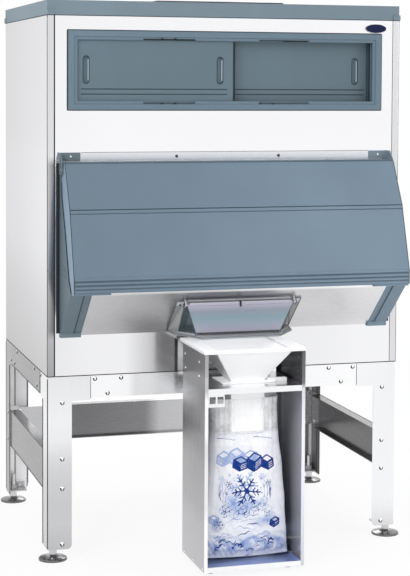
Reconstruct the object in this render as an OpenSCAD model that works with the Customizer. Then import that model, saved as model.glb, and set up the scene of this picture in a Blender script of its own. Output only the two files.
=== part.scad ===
// Commercial ice storage bin on a leg stand, with a bag filling stand in front.
// X runs to the right, Y to the back and Z up, in millimetres.
// The origin is at floor level, in the middle of the object's overall box.

/* [Cabinet] */
// Width over the steel side panels
cab_w = 1321; // [1240:1:1530]
// Depth from the front panel to the back panel
cab_d = 896; // [800:1:1000]
// Height of the cabinet without its lid
cab_h = 1270; // [1240:1:1400]
// Thickness of the insulated walls
wall_t = 64; // [60:1:76]
// Height of the plastic lid
lid_h = 52; // [40:1:70]
// Width of the side panels' return flanges at the corners
corner_w = 25; // [20:1:26]
// Clear width of the ice drop opening in the lid
drop_w = 456; // [300:1:600]
// Clear depth of the ice drop opening in the lid
drop_d = 426; // [250:1:500]

/* [Stand] */
// Height of the cabinet's bottom edge above the floor
stand_h = 660; // [640:1:760]
// Width of each face of the angle legs
leg_w = 88; // [80:1:96]
// Thickness of the stand's sheet steel
leg_t = 3; // [2.5:0.5:4]
// Height of the front and rear top rails
rail_h = 79; // [76:1:100]
// Height of the lower rails
low_rail_h = 142; // [110:1:150]
// Lower edge of the lower rails above the floor
low_rail_z = 241; // [180:1:260]
// Radius of the foot pads
foot_r = 51; // [44:1:54]

/* [Front door] */
// Distance from each end of the lift-up door to the cabinet's side
door_side = 47.5; // [44:0.5:90]
// Height of the lift-up door
door_h = 444; // [420:1:450]
// Distance that the door reaches in front of the cabinet
door_out = 233; // [225:1:240]
// Height of the door's pivot above the cabinet's bottom edge
pivot_up = 729; // [720:1:735]
// Width of the fixed cheeks that the door closes on
cheek_w = 74; // [64:1:80]

/* [Window] */
// Distance from each end of the window frame to the cabinet's side
window_side = 71.5; // [68:0.5:110]
// Height of the window frame
window_h = 280; // [240:1:290]
// Distance from the window frame up to the lid
window_drop = 52; // [44:1:60]
// Thickness of each sliding door
slider_t = 10; // [9:0.5:12]

/* [Chute] */
// Width of the discharge opening in the apron
chute_w = 330; // [280:1:340]
// Width of the clear hood over its flanges
hood_w = 460; // [440:1:480]

/* [Bagger] */
// Width of the bag filling stand
bagger_w = 362; // [350:1:380]
// Depth of its side panels
bagger_d = 283; // [275:1:290]
// Height of its side panels' top above the cabinet's bottom edge
bagger_rise = 111; // [104:1:114]
// Length of the spout below the shelf
spout_len = 176; // [150:1:200]
// Width of the square spout
spout_w = 122; // [110:1:126]
// Width of the bag at its mouth
bag_w = 244; // [230:1:260]

/* [Hidden] */
$fn = 48;
eps = 0.01;

// Colours
steel = "#d9dbde";
plastic = "#7b8c9b";
slider_colour = "#687b88";
white = "#f2f3f5";
rubber = "#33373b";
dark_steel = "#5a5e62";
clear = "#a9c3cf";

// Cabinet planes. The front panel is at y = 0 in cabinet coordinates, and
// at_front() moves everything so that the overall box is centred.
half_w = cab_w / 2;
skin_t = 1.5;
corner_r = 2;
seam = 1;
panel_half = half_w - corner_w - seam;
cab_top = stand_h + cab_h;
inner_half = half_w - wall_t;
liner_t = 3;
pan_drop = 3;
pan_inset = 10;
foam_bottom = stand_h + 2;

// Feet, which set the object's rear-most point
foot_inset = 24.5;
foot_y = 25;
foot_x = half_w - foot_inset;
foot_back_y = cab_d - foot_y;

// Front-most point is the bag filling stand
bagger_gap = 57;
bagger_front = bagger_gap + bagger_d;
front_reach = max(bagger_front, door_out);
rear_reach = max(foot_back_y + foot_r, cab_d + 4);
shift_y = (front_reach - rear_reach) / 2;

// Lift-up door: side profile as [distance in front of the panel, height above its bottom]
pivot_out = 44;
pivot_z = stand_h + pivot_up;
door_top = pivot_z + 29;
door_bottom = door_top - door_h;
door_half = half_w - door_side;
door_skin = 4;
crease = [0.68 * door_out, 0.64 * door_h];
crease_r = 1.6;
crease_gap = 14;
crease_run = [door_out - 1, 0.126 * door_h] - crease;
crease_two = crease + crease_gap * crease_run / norm(crease_run);
door_front = concat([[66, door_h], [74, door_h - 9]],
    arc_corner([[74, door_h - 9], crease, [door_out - 2, 0.126 * door_h]], 6),
    arc_corner([crease, [door_out - 1, 0.126 * door_h], [door_out, 0]], 12),
    arc_corner([[door_out - 1, 0.126 * door_h], [door_out, 4], [door_out - 32, 4]], 9));
door_back = [[door_out - 41, 6], [0.674 * door_out, 0.101 * door_h],
    [0.382 * door_out, 0.473 * door_h], [0.21 * door_out, 0.651 * door_h],
    [34, 0.718 * door_h], [22, door_h - 35], [30, door_h]];
door_profile = [for (p = concat(door_front, door_back)) [-p[0], door_bottom + p[1]]];
seam_line = [for (p = door_back) [-p[0], door_bottom + p[1]]];
gasket_t = 2.7;
cheek_gap = gasket_t + 0.5;
swing_r = 42;

// Sloped apron under the door
apron_top = [-(door_out - 45), door_bottom - 8];
apron_low = [0, apron_top[1] - 163];
apron_run = [apron_top[0] - apron_low[0], apron_top[1] - apron_low[1]];
apron_len = norm(apron_run);
apron_angle = atan2(apron_run[1], -apron_run[0]);
cheek_out = door_half + 3;
cheek_in = cheek_out - cheek_w;

// Window
window_z = cab_top - window_drop - window_h;
window_half = half_w - window_side;
frame_face = 24;
frame_step = 11;
frame_wall = 6;
frame_front = 8;
win_half = window_half - frame_face;
win_z0 = window_z + frame_face - 3;
win_z1 = window_z + window_h - frame_face + 2;
track_1 = 7;
track_2 = wall_t - 20;
track_play = 0.8;
rib_t = 5;
slider_gap = 0.6;
slider_overlap = 45;
slider_w = win_half + slider_overlap / 2 - slider_gap;
slider_h = win_z1 - win_z0 - 4;
pull_w = 22;
pull_h = 97;
pull_depth = 9;
pull_wall = 2.5;
pull_in = 43.4;

// Chute hood and flap
opening_s0 = 42;
opening_s1 = 176;
hood_t = 3;
flap_top_half = 196;
flap_low_half = 156;
flap_drop = 104;
flap_back = 25;
hood_top = apron_top[1] - 36;
rod_at = [apron_top[0] + 28, hood_top - 10];
flap_low = rod_at + [flap_back, -flap_drop];
rod_r = 2.5;
flap_angle = atan2(flap_back, flap_drop);
flap_len = norm([flap_back, flap_drop]);

// Bag filling stand
b_half = bagger_w / 2;
b_t = 12;
b_skin = 1.5;
glide_h = 18;
bagger_top = stand_h + bagger_rise;
shelf_z = bagger_top - 118;
shelf_flange = 20;
spout_y0 = -251;
spout_d = 102;
spout_t = 3;
spout_top = shelf_z - b_skin;
tray_z = 22;
rim_t = 12;
rim_z0 = bagger_top;
funnel_t = 4;

// Fixings
screw_r = 2.5;
screw_head = 4.5;
bolt_r = 4;
bolt_head = 8;
fit = 0.06;

// Stand
stand_top = stand_h - pan_drop;
leg_bottom = 39;
leg_r = 5;
fillet_r = 6;
end_r = 16;
splice_reach = 292;
tab_reach = 74;
tab_lip = 14;
arm_h = 87;
arm_front = 155.5;
arm_side = 140;
bolt_x = half_w - 53.5;
bolt_z = [57, low_rail_z + 16, low_rail_z + low_rail_h - 20, stand_top - 93];

// Frame helpers
module at_front() translate([0, shift_y, 0]) children();

// A box from its low corner to its high corner, in cabinet coordinates
module span(a, b) translate(a) cube(b - a);

// A prism of a [y, z] outline between two x values
module along_x(outline, x0, x1)
    translate([x0, 0, 0]) rotate([90, 0, 90]) linear_extrude(x1 - x0) polygon(outline);

// A rod along x
module rod(x0, x1, y, z, r) translate([x0, y, z]) rotate([0, 90, 0]) cylinder(h = x1 - x0, r = r);

// A rod along y
module rod_y(x, z, y0, y1, r) translate([x, y0, z]) rotate([-90, 0, 0]) cylinder(h = y1 - y0, r = r);

// Mirrors its children to the left when side is -1
module on_side(side) scale_x(side) children();
module scale_x(side) mirror([side < 0 ? 1 : 0, 0, 0]) children();

// Points of the arc with radius r that rounds the middle one of three points
function arc_corner(p, r, n = 6) =
    let (u = unit(p[0] - p[1]), v = unit(p[2] - p[1]), half = acos(u * v) / 2,
        middle = p[1] + unit(u + v) * r / sin(half), start = p[1] + u * r / tan(half) - middle,
        sweep = (180 - 2 * half) * (cross2(start, p[1] + v * r / tan(half) - middle) > 0 ? 1 : -1))
    [for (i = [0:n]) middle + turned(start, sweep * i / n)];
function turned(v, a) = [v[0] * cos(a) - v[1] * sin(a), v[0] * sin(a) + v[1] * cos(a)];

// Outline moved inwards by t, for a closed outline that runs anticlockwise
function unit(v) = v / norm(v);
function left_of(v) = [-v[1], v[0]];
function cross2(a, b) = a[0] * b[1] - a[1] * b[0];
function meet(p, u, q, v) = p + u * (cross2(q - p, v) / cross2(u, v));
function inset_corner(a, b, c, t) =
    let (u = unit(b - a), v = unit(c - b))
    meet(b + left_of(u) * t, u, b + left_of(v) * t, v);
function inset(p, t) =
    let (n = len(p))
    [for (i = [0:n - 1]) inset_corner(p[(i + n - 1) % n], p[i], p[(i + 1) % n], t)];

// Open line moved to its right by t
function end_shift(a, b, t) = -left_of(unit(b - a)) * t;
function shifted(p, t) =
    let (n = len(p))
    [for (i = [0:n - 1]) i == 0 ? p[0] + end_shift(p[0], p[1], t)
        : i == n - 1 ? p[i] + end_shift(p[i - 1], p[i], t)
        : inset_corner(p[i - 1], p[i], p[i + 1], -t)];

// Local frame on the apron: x to the right, y up the slope, z out of its face
module on_apron()
    translate([0, apron_low[0], apron_low[1]]) rotate([180 - apron_angle, 0, 0]) children();

// The [y, z] of a point s up the apron's slope and n out of its face
function apron_at(s, n) = apron_low
    + [-s * cos(apron_angle) - n * sin(apron_angle), s * sin(apron_angle) - n * cos(apron_angle)];

// Cabinet shell
module side_panel(side) color(steel) at_front() on_side(side) {
    translate([0, 0, stand_h]) linear_extrude(cab_h) intersection() {
        difference() {
            round_rect([-half_w, 0], [half_w, cab_d], corner_r);
            translate([-half_w, skin_t]) square([cab_w - skin_t, cab_d - 2 * skin_t]);
        }
        translate([half_w - corner_w, -1]) square([corner_w + 1, cab_d + 2]);
    }
}
module round_rect(a, b, r) {
    translate([a[0] + r, a[1]]) square([b[0] - a[0] - 2 * r, b[1] - a[1]]);
    translate([a[0], a[1] + r]) square([b[0] - a[0], b[1] - a[1] - 2 * r]);
    for (x = [a[0] + r, b[0] - r], y = [a[1] + r, b[1] - r]) translate([x, y]) circle(r);
}
module side_panel_left() side_panel(-1);
module side_panel_right() side_panel(1);

module back_panel() color(steel) at_front()
    span([-panel_half, cab_d - skin_t, stand_h], [panel_half, cab_d, cab_top]);

strip_z0 = pivot_z + 32;
strip_z1 = strip_z0 + 28;
header_z = pivot_z - 17;
opening_half = cheek_in;
module front_panel_upper() color(steel) at_front() difference() {
    union() {
        span([-panel_half, 0, strip_z0], [panel_half, skin_t, cab_top]);
        span([-opening_half + 0.5, 0, header_z], [opening_half - 0.5, skin_t, strip_z0 + 1]);
    }
    span([-win_half - frame_wall, -1, win_z0 - frame_wall],
        [win_half + frame_wall, 3, win_z1 + frame_wall]);
    for (x = strip_screw_x) rod_y(x, strip_screw_z, -1, 3, screw_r + 0.1);
    for (x = [-1, 1]) rod_y(x * bracket_screw_x, strip_screw_z, -1, 3, screw_r + 0.1);
}
module front_panel_lower() color(steel) at_front() difference() {
    span([-panel_half, 0, stand_h], [panel_half, skin_t, strip_z0 - seam]);
    span([-opening_half, -1, apron_low[1] + 6], [opening_half, 3, strip_z0 + 1]);
}
module bottom_pan() color(steel) at_front() difference() {
    union() {
        span([-half_w + pan_inset, pan_inset, stand_top],
            [half_w - pan_inset, cab_d - pan_inset, foam_bottom]);
        span([-foam_half, skin_t, stand_h], [foam_half, cab_d - skin_t, foam_bottom]);
    }
    drain_hole(drain_r + 0.3);
}

// Insulation boards between the skins and the liner, with the drain between four of them
foam_half = half_w - skin_t;
foam_back = cab_d - skin_t;
board_gap = 0.2;
module board(a, b) {
    g = [board_gap, board_gap, board_gap] / 2;
    span(a + g, b - g);
}
module front_board(x0, x1, z0, z1) board([x0, skin_t, z0], [x1, wall_t, z1]);
module foam_core() color("#e8e0c0") at_front() {
    hatch_z0 = apron_low[1] + 6;
    win_low = win_z0 - frame_wall;
    win_high = win_z1 + frame_wall;
    sleeve_half = win_half + frame_wall;
    for (side = [-1, 1]) on_side(side) {
        board([drain_r, skin_t, foam_bottom], [foam_half, foam_back, liner_z0]);
        board([inner_half, skin_t, liner_z0], [foam_half, foam_back, cab_top]);
        front_board(opening_half, inner_half, hatch_z0, header_z);
        front_board(sleeve_half, inner_half, win_low, win_high);
    }
    board([-drain_r, skin_t, foam_bottom], [drain_r, drain_y - drain_r, liner_z0]);
    board([-drain_r, drain_y + drain_r, foam_bottom], [drain_r, foam_back, liner_z0]);
    board([-inner_half, cab_d - wall_t, liner_z0], [inner_half, foam_back, cab_top]);
    front_board(-inner_half, inner_half, liner_z0, hatch_z0);
    front_board(-inner_half, inner_half, header_z, win_low);
    front_board(-inner_half, inner_half, win_high, cab_top);
    for (side = [-1, 1]) on_side(side)
        lid_pocket(board_gap, cab_top + liner_t + board_gap, cab_top + lid_h - lid_skin - board_gap);
}

// White inner tank, open at the top, with the two openings in its front wall
liner_z0 = stand_h + wall_t;
module liner() color(white) at_front() {
    difference() {
        span([-inner_half, wall_t, liner_z0], [inner_half, cab_d - wall_t, cab_top]);
        span([-inner_half + liner_t, wall_t + liner_t, liner_z0 + liner_t],
            [inner_half - liner_t, cab_d - wall_t - liner_t, cab_top + 1]);
        span([-win_half - frame_wall, wall_t - 1, win_z0 - frame_wall],
            [win_half + frame_wall, wall_t + liner_t + 1, win_z1 + frame_wall]);
        span([-opening_half, wall_t - 1, apron_low[1] + 6],
            [opening_half, wall_t + liner_t + 1, header_z]);
        drain_hole(drain_r + 0.3);
    }
    difference() {
        span([-opening_half, 0, apron_low[1] + 6], [opening_half, wall_t + liner_t, header_z]);
        span([-opening_half + liner_t, -1, apron_low[1] + 6 + liner_t],
            [opening_half - liner_t, wall_t + liner_t + 1, header_z - liner_t]);
    }
    for (side = [-1, 1]) on_side(side) lid_pocket(board_gap, cab_top, cab_top + liner_t);
}

// Drain at the bottom, towards the back
drain_r = 21;
drain_bore = 13;
drain_y = cab_d - 220;
drain_low = stand_top - 46;
module drain_hole(r) translate([0, drain_y, stand_top - 1]) cylinder(h = wall_t + 12, r = r);
module drain_fitting() color(white) at_front() translate([0, drain_y, 0]) difference() {
    union() {
        translate([0, 0, drain_low]) cylinder(h = liner_z0 + liner_t - drain_low, r = drain_r);
        translate([0, 0, stand_top - 6]) cylinder(h = 6, r = drain_r + 14);
        translate([0, 0, liner_z0 + liner_t]) cylinder(h = 2, r = drain_r + 9);
    }
    translate([0, 0, drain_low - 1]) cylinder(h = 200, r = drain_bore);
}

// Plastic lid with a corner foot at each corner and the opening for falling ice
cap_over = 1;
tab_over = 5;
tab_h = 18;
drop_y = 112;
gasket_w = 12;
gasket_h = 9;
module top_cap() color(plastic) at_front() difference() {
    union() {
        translate([0, 0, cab_top]) linear_extrude(lid_h)
            round_rect([-half_w - cap_over, -cap_over], [half_w + cap_over, cab_d + cap_over], 6);
        for (x = [-1, 1], y = [0, 1]) translate([0, 0, cab_top]) linear_extrude(tab_h)
            intersection() {
                round_rect([-half_w - tab_over, -tab_over], [half_w + tab_over, cab_d + tab_over], 6);
                translate([x > 0 ? half_w - corner_w : -half_w - tab_over - 1,
                    y > 0 ? cab_d - corner_w : -tab_over - 1])
                    square(corner_w + tab_over + 1);
            }
    }
    span([-drop_w / 2, drop_y, cab_top - 1], [drop_w / 2, drop_y + drop_d, cab_top + lid_h + 1]);
    // Pockets under the lid for its insulation
    for (side = [-1, 1]) on_side(side) lid_pocket(0, cab_top - 1, cab_top + lid_h - lid_skin);
}
lid_skin = 12;
lid_rib = 14;
module lid_pocket(gap, z0, z1)
    span([drop_w / 2 + lid_rib + gap, wall_t + lid_rib + gap, z0],
        [inner_half - gap, cab_d - wall_t - lid_rib - gap, z1]);
module drop_gasket() color(rubber) at_front() difference() {
    span([-drop_w / 2 - gasket_w, drop_y - gasket_w, cab_top + lid_h],
        [drop_w / 2 + gasket_w, drop_y + drop_d + gasket_w, cab_top + lid_h + gasket_h]);
    span([-drop_w / 2, drop_y, cab_top + lid_h - 1],
        [drop_w / 2, drop_y + drop_d, cab_top + lid_h + gasket_h + 1]);
}

// Window frame: a face ring, a sleeve through the wall and two sliding tracks
notch_w = 0.336 * win_half;
notch_x = [-0.559 * win_half, 0.2035 * win_half];
module window_frame() color(plastic) at_front() difference() {
    union() {
        span([-window_half, -frame_front, window_z], [window_half, 0, window_z + window_h]);
        span([-win_half - frame_wall, -1, win_z0 - frame_wall],
            [win_half + frame_wall, wall_t + liner_t, win_z1 + frame_wall]);
    }
    // Clear opening
    window_cut(frame_step, -frame_front - 1, wall_t + liner_t + 1);
    // Step in front of the first track
    window_cut(0, -frame_front - 1, -frame_front + 4);
    // The two tracks, each between ribs, and the space between and behind them
    window_cut(0, track_1 - track_play, track_1 + slider_t + track_play);
    window_cut(0, track_1 + slider_t + track_play + rib_t, track_2 - track_play - rib_t);
    window_cut(0, track_2 - track_play, track_2 + slider_t + track_play);
    window_cut(0, track_2 + slider_t + track_play + rib_t, wall_t + liner_t + 1);
    // Lift-out notches in the front rib
    for (x = notch_x) span([x, -frame_front - 1, win_z0 + frame_step - 5],
        [x + notch_w, track_1 - track_play + eps, win_z1 - frame_step + 5]);
}
module window_cut(inset_by, y0, y1)
    span([-win_half + inset_by, y0, win_z0 + inset_by], [win_half - inset_by, y1, win_z1 - inset_by]);

// A sliding door from x0 to x0 + slider_w with its face at y0, and its finger pulls
module slider(x0, y0, pulls) color(slider_colour) at_front() difference() {
    union() {
        span([x0, y0, win_z0 + slider_gap], [x0 + slider_w, y0 + slider_t, win_z0 + slider_h]);
        for (x = pulls) oblong(x, pull_wall, y0 + eps, y0 + pull_depth + pull_wall);
    }
    for (x = pulls) oblong(x, 0, y0 - 1, y0 + pull_depth);
    for (z = groove_z) span([x0 + 24, y0 - 1, z - 2], [x0 + slider_w - 24, y0 + 1.2, z + 2]);
}
pull_z = win_z0 + 121;
groove_z = [win_z0 + 35, win_z0 + 53];
module oblong(x, grow, y0, y1) {
    r = pull_w / 2 + grow;
    reach = (pull_h - pull_w) / 2;
    for (side = [-1, 1]) rod_y(x, pull_z + side * reach, y0, y1, r);
    span([x - r, y0, pull_z - reach], [x + r, y1, pull_z + reach]);
}
slider_left_x = -win_half + slider_gap;
slider_right_x = win_half - slider_gap - slider_w;
module window_door_left() slider(slider_left_x, track_1,
    [slider_left_x + pull_in, slider_left_x + slider_w - pull_in - 9]);
module window_door_right() slider(slider_right_x, track_2,
    [slider_right_x + slider_w - pull_in - 19]);

// Bare oval badge plate
badge_x = half_w - 93.5;
badge_z = window_z + window_h + 20;
module badge() color("#1f2c52") at_front() translate([badge_x, 0, badge_z]) rotate([90, 0, 0])
    linear_extrude(3) polygon([for (a = [0:7.5:352.5]) [42 * cos(a), 17 * sin(a)]]);

// Steel strip above the lift-up door
strip_half = cheek_in - 1;
strip_t = 3;
strip_screw_z = strip_z0 + 14;
strip_screw_x = [-0.355 * strip_half, 0.355 * strip_half];
bracket_screw_in = 36;
bracket_screw_x = cheek_in + bracket_screw_in;
module hinge_strip() color(steel) at_front() difference() {
    span([-strip_half, -strip_t, strip_z0], [strip_half, 0, strip_z1]);
    for (x = strip_screw_x) rod_y(x, strip_screw_z, -4, 1, screw_r + 0.1);
}

// Hinge brackets: a plate on the front panel and an ear outside the door's end
ear_t = 3.5;
bracket_t = 4;
pin_r = 6;
module hinge_bracket(side) color(plastic) at_front() on_side(side) difference() {
    union() {
        span([strip_half + 2, -bracket_t, strip_z0 - 2], [cheek_out + ear_t, 0, strip_z1]);
        difference() {
            span([cheek_out, -pivot_out - 10, header_z], [cheek_out + ear_t, 0, strip_z1]);
            translate([cheek_out - 1, -pivot_out - 12, strip_z1 - 30]) rotate([45, 0, 0])
                cube([ear_t + 2, 60, 60]);
        }
    }
    rod(cheek_out - 1, cheek_out + ear_t + 1, -pivot_out, pivot_z, pin_r + 0.04);
    rod_y(bracket_screw_x, strip_screw_z, -5, 1, screw_r + 0.1);
}
module hinge_bracket_left() hinge_bracket(-1);
module hinge_bracket_right() hinge_bracket(1);

pin_len = 30;
bush_r = 11;
bush_len = 36;
module hinge_pins() color(dark_steel) at_front() for (side = [-1, 1]) on_side(side) {
    rod(cheek_out + ear_t - pin_len, cheek_out + ear_t + 3, -pivot_out, pivot_z, pin_r);
    rod(cheek_out + ear_t, cheek_out + ear_t + 3, -pivot_out, pivot_z, pin_r + 3);
}

// Screws that hold the strip, the brackets, the hood and the filling stand's panels
module screw(depth) {
    cylinder(h = depth, r = screw_r);
    translate([0, 0, depth]) cylinder(h = 2.2, r1 = screw_head, r2 = screw_head - 1.6);
}
module front_screw(x, z, y0, depth) translate([x, y0 + depth, z]) rotate([90, 0, 0]) screw(depth);
b_screws = [[-87, -33], [-268, -33], [-92, -82], [-269, -82]];
module panel_screws() color("#b9bcc0") at_front() {
    for (x = strip_screw_x) front_screw(x, strip_screw_z, -strip_t, strip_t + skin_t);
    for (side = [-1, 1]) {
        front_screw(side * bracket_screw_x, strip_screw_z, -bracket_t, bracket_t + skin_t);
        on_side(side) {
            for (p = b_screws) translate([b_half - b_skin, p[0], bagger_top + p[1]])
                rotate([0, 90, 0]) screw(b_skin);
            for (y = rivet_y) translate([b_half - b_t - b_skin, y, tray_z + 7])
                rotate([0, 90, 0]) screw(b_t + b_skin);
        }
    }
    on_apron() for (p = hood_screws) translate([p[0], p[1], -0.8]) screw(hood_t + 0.8);
}
rivet_y = [-92, -206, -322];
hood_screws = [for (x = [-1, 1], p = [[hood_w / 2 - 25, 95], [hood_w / 2 - 16, 178]]) [x * p[0], p[1]]];

// Fixed cheeks on each side of the opening, which the door closes on
arm_foot = [-12, apron_low[1] + 9];
arm_head = [apron_top[0] - 2, apron_top[1] + 1];
arm_run = (arm_head - arm_foot) / norm(arm_head - arm_foot);
arm_in = [arm_run[1], -arm_run[0]];
arm_step = 2.5;
arm_step_w = 27;
cheek_ribs = [80, 67, 49];
cheek_rib_r = 1.5;
cheek_rib_y = [-0.55 * door_out, -8];
cheek_profile = concat([[0, apron_low[1] - 6], [arm_foot[0], apron_low[1] - 6], arm_foot, arm_head,
    arm_head + [0, 4]],
    [for (i = [0:4]) shifted(seam_line, cheek_gap)[i]],
    [[-20, pivot_z - 44], [0, pivot_z - 14]]);
module door_cheek(side) color(plastic) at_front() on_side(side) difference() {
    union() {
        along_x(cheek_profile, cheek_in, cheek_out);
        for (h = cheek_ribs) rod_y(cheek_out, door_bottom + h, cheek_rib_y[0], cheek_rib_y[1], cheek_rib_r);
    }
    rod(cheek_in - 1, cheek_out + 1, -pivot_out, pivot_z, swing_r);
    // Step along the inner edge of the lower arm
    along_x([arm_foot + arm_step * arm_in, arm_foot - 4 * arm_step * arm_in,
        arm_head - 4 * arm_step * arm_in + arm_run, arm_head + arm_step * arm_in + arm_run],
        cheek_in - 1, cheek_in + arm_step_w);
}
module door_cheek_left() door_cheek(-1);
module door_cheek_right() door_cheek(1);

// Lift-up door: outer shell, foam, inner liner, gasket and hinge bushings
inner_profile = inset(door_profile, door_skin);
n_front = len(door_front);
n_all = len(door_profile);
liner_profile = concat([for (i = [n_front:n_all - 1]) door_profile[i]],
    [for (i = [n_all - 1:-1:n_front]) inner_profile[i]]);
rib_z = [0.118, 0.086, 0.055];
module door_shell() color(plastic) at_front() difference() {
    union() {
        along_x(door_profile, -door_half, door_half);
        // Lower lips at both ends leave a shallow grip in the middle
        for (x = [-1, 1]) span([x > 0 ? door_half - 131 : -door_half, -door_out + 8, door_bottom - 2],
            [x > 0 ? door_half : -door_half + 131, -door_out + 34, door_bottom + 5]);
        for (f = rib_z) rod(-door_half + 4, door_half - 4, -door_out + 3.2, door_bottom + f * door_h, 6);
    }
    for (p = [crease, crease_two])
        rod(-door_half - 1, door_half + 1, -p[0], door_bottom + p[1], crease_r);
    along_x(inner_profile, -door_half + door_skin, door_half - door_skin);
    along_x(liner_profile, -door_half + door_skin, door_half - door_skin);
    bush_bores();
}
module bush_bores() for (side = [-1, 1]) on_side(side)
    rod(door_half - bush_len, door_half + 1, -pivot_out, pivot_z, bush_r + fit);
module door_foam() color("#e8e0c0") at_front() difference() {
    along_x(inner_profile, -door_half + door_skin, door_half - door_skin);
    bush_bores();
}
module door_liner() color(white) at_front() difference() {
    along_x(liner_profile, -door_half + door_skin, door_half - door_skin);
    bush_bores();
}
seal_line = shifted(seam_line, gasket_t);
function seal_band(i0, i1) = concat([for (i = [i0:i1]) seam_line[i]], [for (i = [i1:-1:i0]) seal_line[i]]);
seal_w = 28;
seal_in = 22;
module door_gasket() color(rubber) at_front() {
    for (side = [-1, 1]) on_side(side)
        along_x(seal_band(0, 4), cheek_in + seal_in, cheek_in + seal_in + seal_w);
    along_x(seal_band(0, 1), -cheek_in - seal_in, cheek_in + seal_in);
}
module hinge_bushings() color(white) at_front() for (side = [-1, 1]) on_side(side) difference() {
    rod(door_half - bush_len, door_half - 0.5, -pivot_out, pivot_z, bush_r);
    rod(door_half - bush_len + 4, door_half + 1, -pivot_out, pivot_z, pin_r + fit);
}

// Sloped apron with the discharge opening
apron_half = cheek_in - 0.5;
apron_lip = 30;
core_low = 46;
core_top = apron_lip + 8;
module apron_skin() color(steel) at_front() difference() {
    union() {
        along_x([apron_low, apron_low + [0, 2.2], apron_top + [2, 1.4], apron_top + [2, 7],
            apron_top + [apron_lip, 7], apron_top + [apron_lip, 8.6], apron_top + [0, 8.6], apron_top],
            -apron_half, apron_half);
    }
    on_apron() translate([-chute_w / 2, opening_s0, -10]) cube([chute_w, opening_s1 - opening_s0, 20]);
    on_apron() for (p = hood_screws) translate([p[0], p[1], -5]) cylinder(h = 10, r = screw_r + 0.1);
}
module apron_core() color(white) at_front() difference() {
    along_x([apron_low + [0, 2.2], apron_low + [0, core_low], apron_top + [core_top, 7],
        apron_top + [2, 7], apron_top + [2, 1.4]], -apron_half, apron_half);
    on_apron() translate([-chute_w / 2, opening_s0, -2 * core_low])
        cube([chute_w, opening_s1 - opening_s0, 2 * core_low + 5]);
    on_apron() for (p = hood_screws) translate([p[0], p[1], -3]) cylinder(h = 6, r = screw_r + 0.1);
}
throat_t = 2;
throat_len = 36;
module chute_throat() color(steel) at_front() on_apron() difference() {
    translate([-chute_w / 2, opening_s0, -throat_len])
        cube([chute_w, opening_s1 - opening_s0, throat_len]);
    translate([-chute_w / 2 + throat_t, opening_s0 + throat_t, -throat_len - 1])
        cube([chute_w - 2 * throat_t, opening_s1 - opening_s0 - 2 * throat_t, throat_len + 2]);
}

// Clear hood: a flange on the apron, a floor, and a wall and an ear for the rod at each end
hood_s_top = (hood_top - apron_low[1]) / sin(apron_angle);
ear_in = flap_top_half + 2.5;
ear_out = ear_in + 7;
module chute_hood() color(clear) at_front() {
    on_apron() difference() {
        span([-hood_w / 2, 10, 0], [hood_w / 2, hood_s_top + 6, hood_t]);
        span([-chute_w / 2 - 3, opening_s0 - 3, -1], [chute_w / 2 + 3, opening_s1 + 3, hood_t + 1]);
        for (p = hood_screws) translate([p[0], p[1], -1]) cylinder(h = 10, r = screw_r + 0.1);
    }
    for (side = [-1, 1]) on_side(side) {
        hood_wall();
        difference() {
            on_apron() span([ear_in, hood_s_top - 7, 0], [ear_out, hood_s_top + 12, ear_h]);
            rod(ear_in - 1, ear_out + 1, rod_at[0], rod_at[1], rod_r + 0.03);
        }
    }
    intersection() {
        along_x([lip_rear, lip_rear - [0, hood_t], lip_front - [0, hood_t], lip_front], -hood_w, hood_w);
        linear_extrude(cab_top) polygon([[-hood_w / 2 + 1, lip_rear[0]], [hood_w / 2 - 1, lip_rear[0]],
            [hood_w / 2 - 13, lip_mid], [lip_half, lip_front[0]], [-lip_half, lip_front[0]],
            [-hood_w / 2 + 13, lip_mid]]);
    }
}
// The hood's floor, from the apron forward to the edge that the ice drops off
ear_h = 22;
lip_rear = apron_at(14, 1);
lip_front = [rod_at[0] - 16, apron_low[1]];
lip_mid = 0.5 * lip_front[0];
lip_half = 143;
function lip_z(y) = lip_rear[1]
    + (y - lip_rear[0]) * (lip_front[1] - lip_rear[1]) / (lip_front[0] - lip_rear[0]);

// End wall of the hood in a plane through three points: x = wall_at(p) at [y, z]
wall_top = concat(flap_top_half + 7, apron_at(hood_s_top + 4, 1));
wall_low = concat(hood_w / 2 - 3, apron_at(37, 1));
wall_lip = concat(flap_low_half + 3.5, flap_low);
wall_u = wall_top - wall_lip;
wall_v = wall_low - wall_lip;
wall_q = (wall_u[0] * wall_v[2] - wall_v[0] * wall_u[2]) / (wall_u[1] * wall_v[2] - wall_v[1] * wall_u[2]);
wall_r = (wall_u[0] - wall_q * wall_u[1]) / wall_u[2];
function wall_at(p) = wall_lip[0] + wall_q * (p[0] - wall_lip[1]) + wall_r * (p[1] - wall_lip[2]);
flap_down = (flap_low - rod_at) / flap_len;
flap_rest = 0.4 * [-flap_down[1], flap_down[0]];
module hood_wall() {
    foot = lip_rear - [0, hood_t / 2];
    toe_y = flap_low[0] + flap_rest[0] + 3;
    side = [apron_at(hood_s_top + 4, 1), foot, [toe_y, lip_z(toe_y) - hood_t / 2],
        flap_low + flap_rest, rod_at + 9 * flap_down + flap_rest];
    n = len(side);
    outer = [for (p = side) [wall_at(p), p[0], p[1]]];
    polyhedron(concat(outer, [for (p = outer) p - [hood_t, 0, 0]]),
        concat([[for (i = [0:n - 1]) i], [for (i = [n - 1:-1:0]) n + i]],
        [for (i = [0:n - 1]) [i, n + i, n + (i + 1) % n, (i + 1) % n]]));
}
module flap_rod() color(dark_steel) at_front() {
    rod(-ear_out - 2.5, ear_out + 2.5, rod_at[0], rod_at[1], rod_r);
    for (side = [-1, 1]) on_side(side) rod(ear_out + 0.3, ear_out + 2.5, rod_at[0], rod_at[1], rod_r + 2);
}
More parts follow.
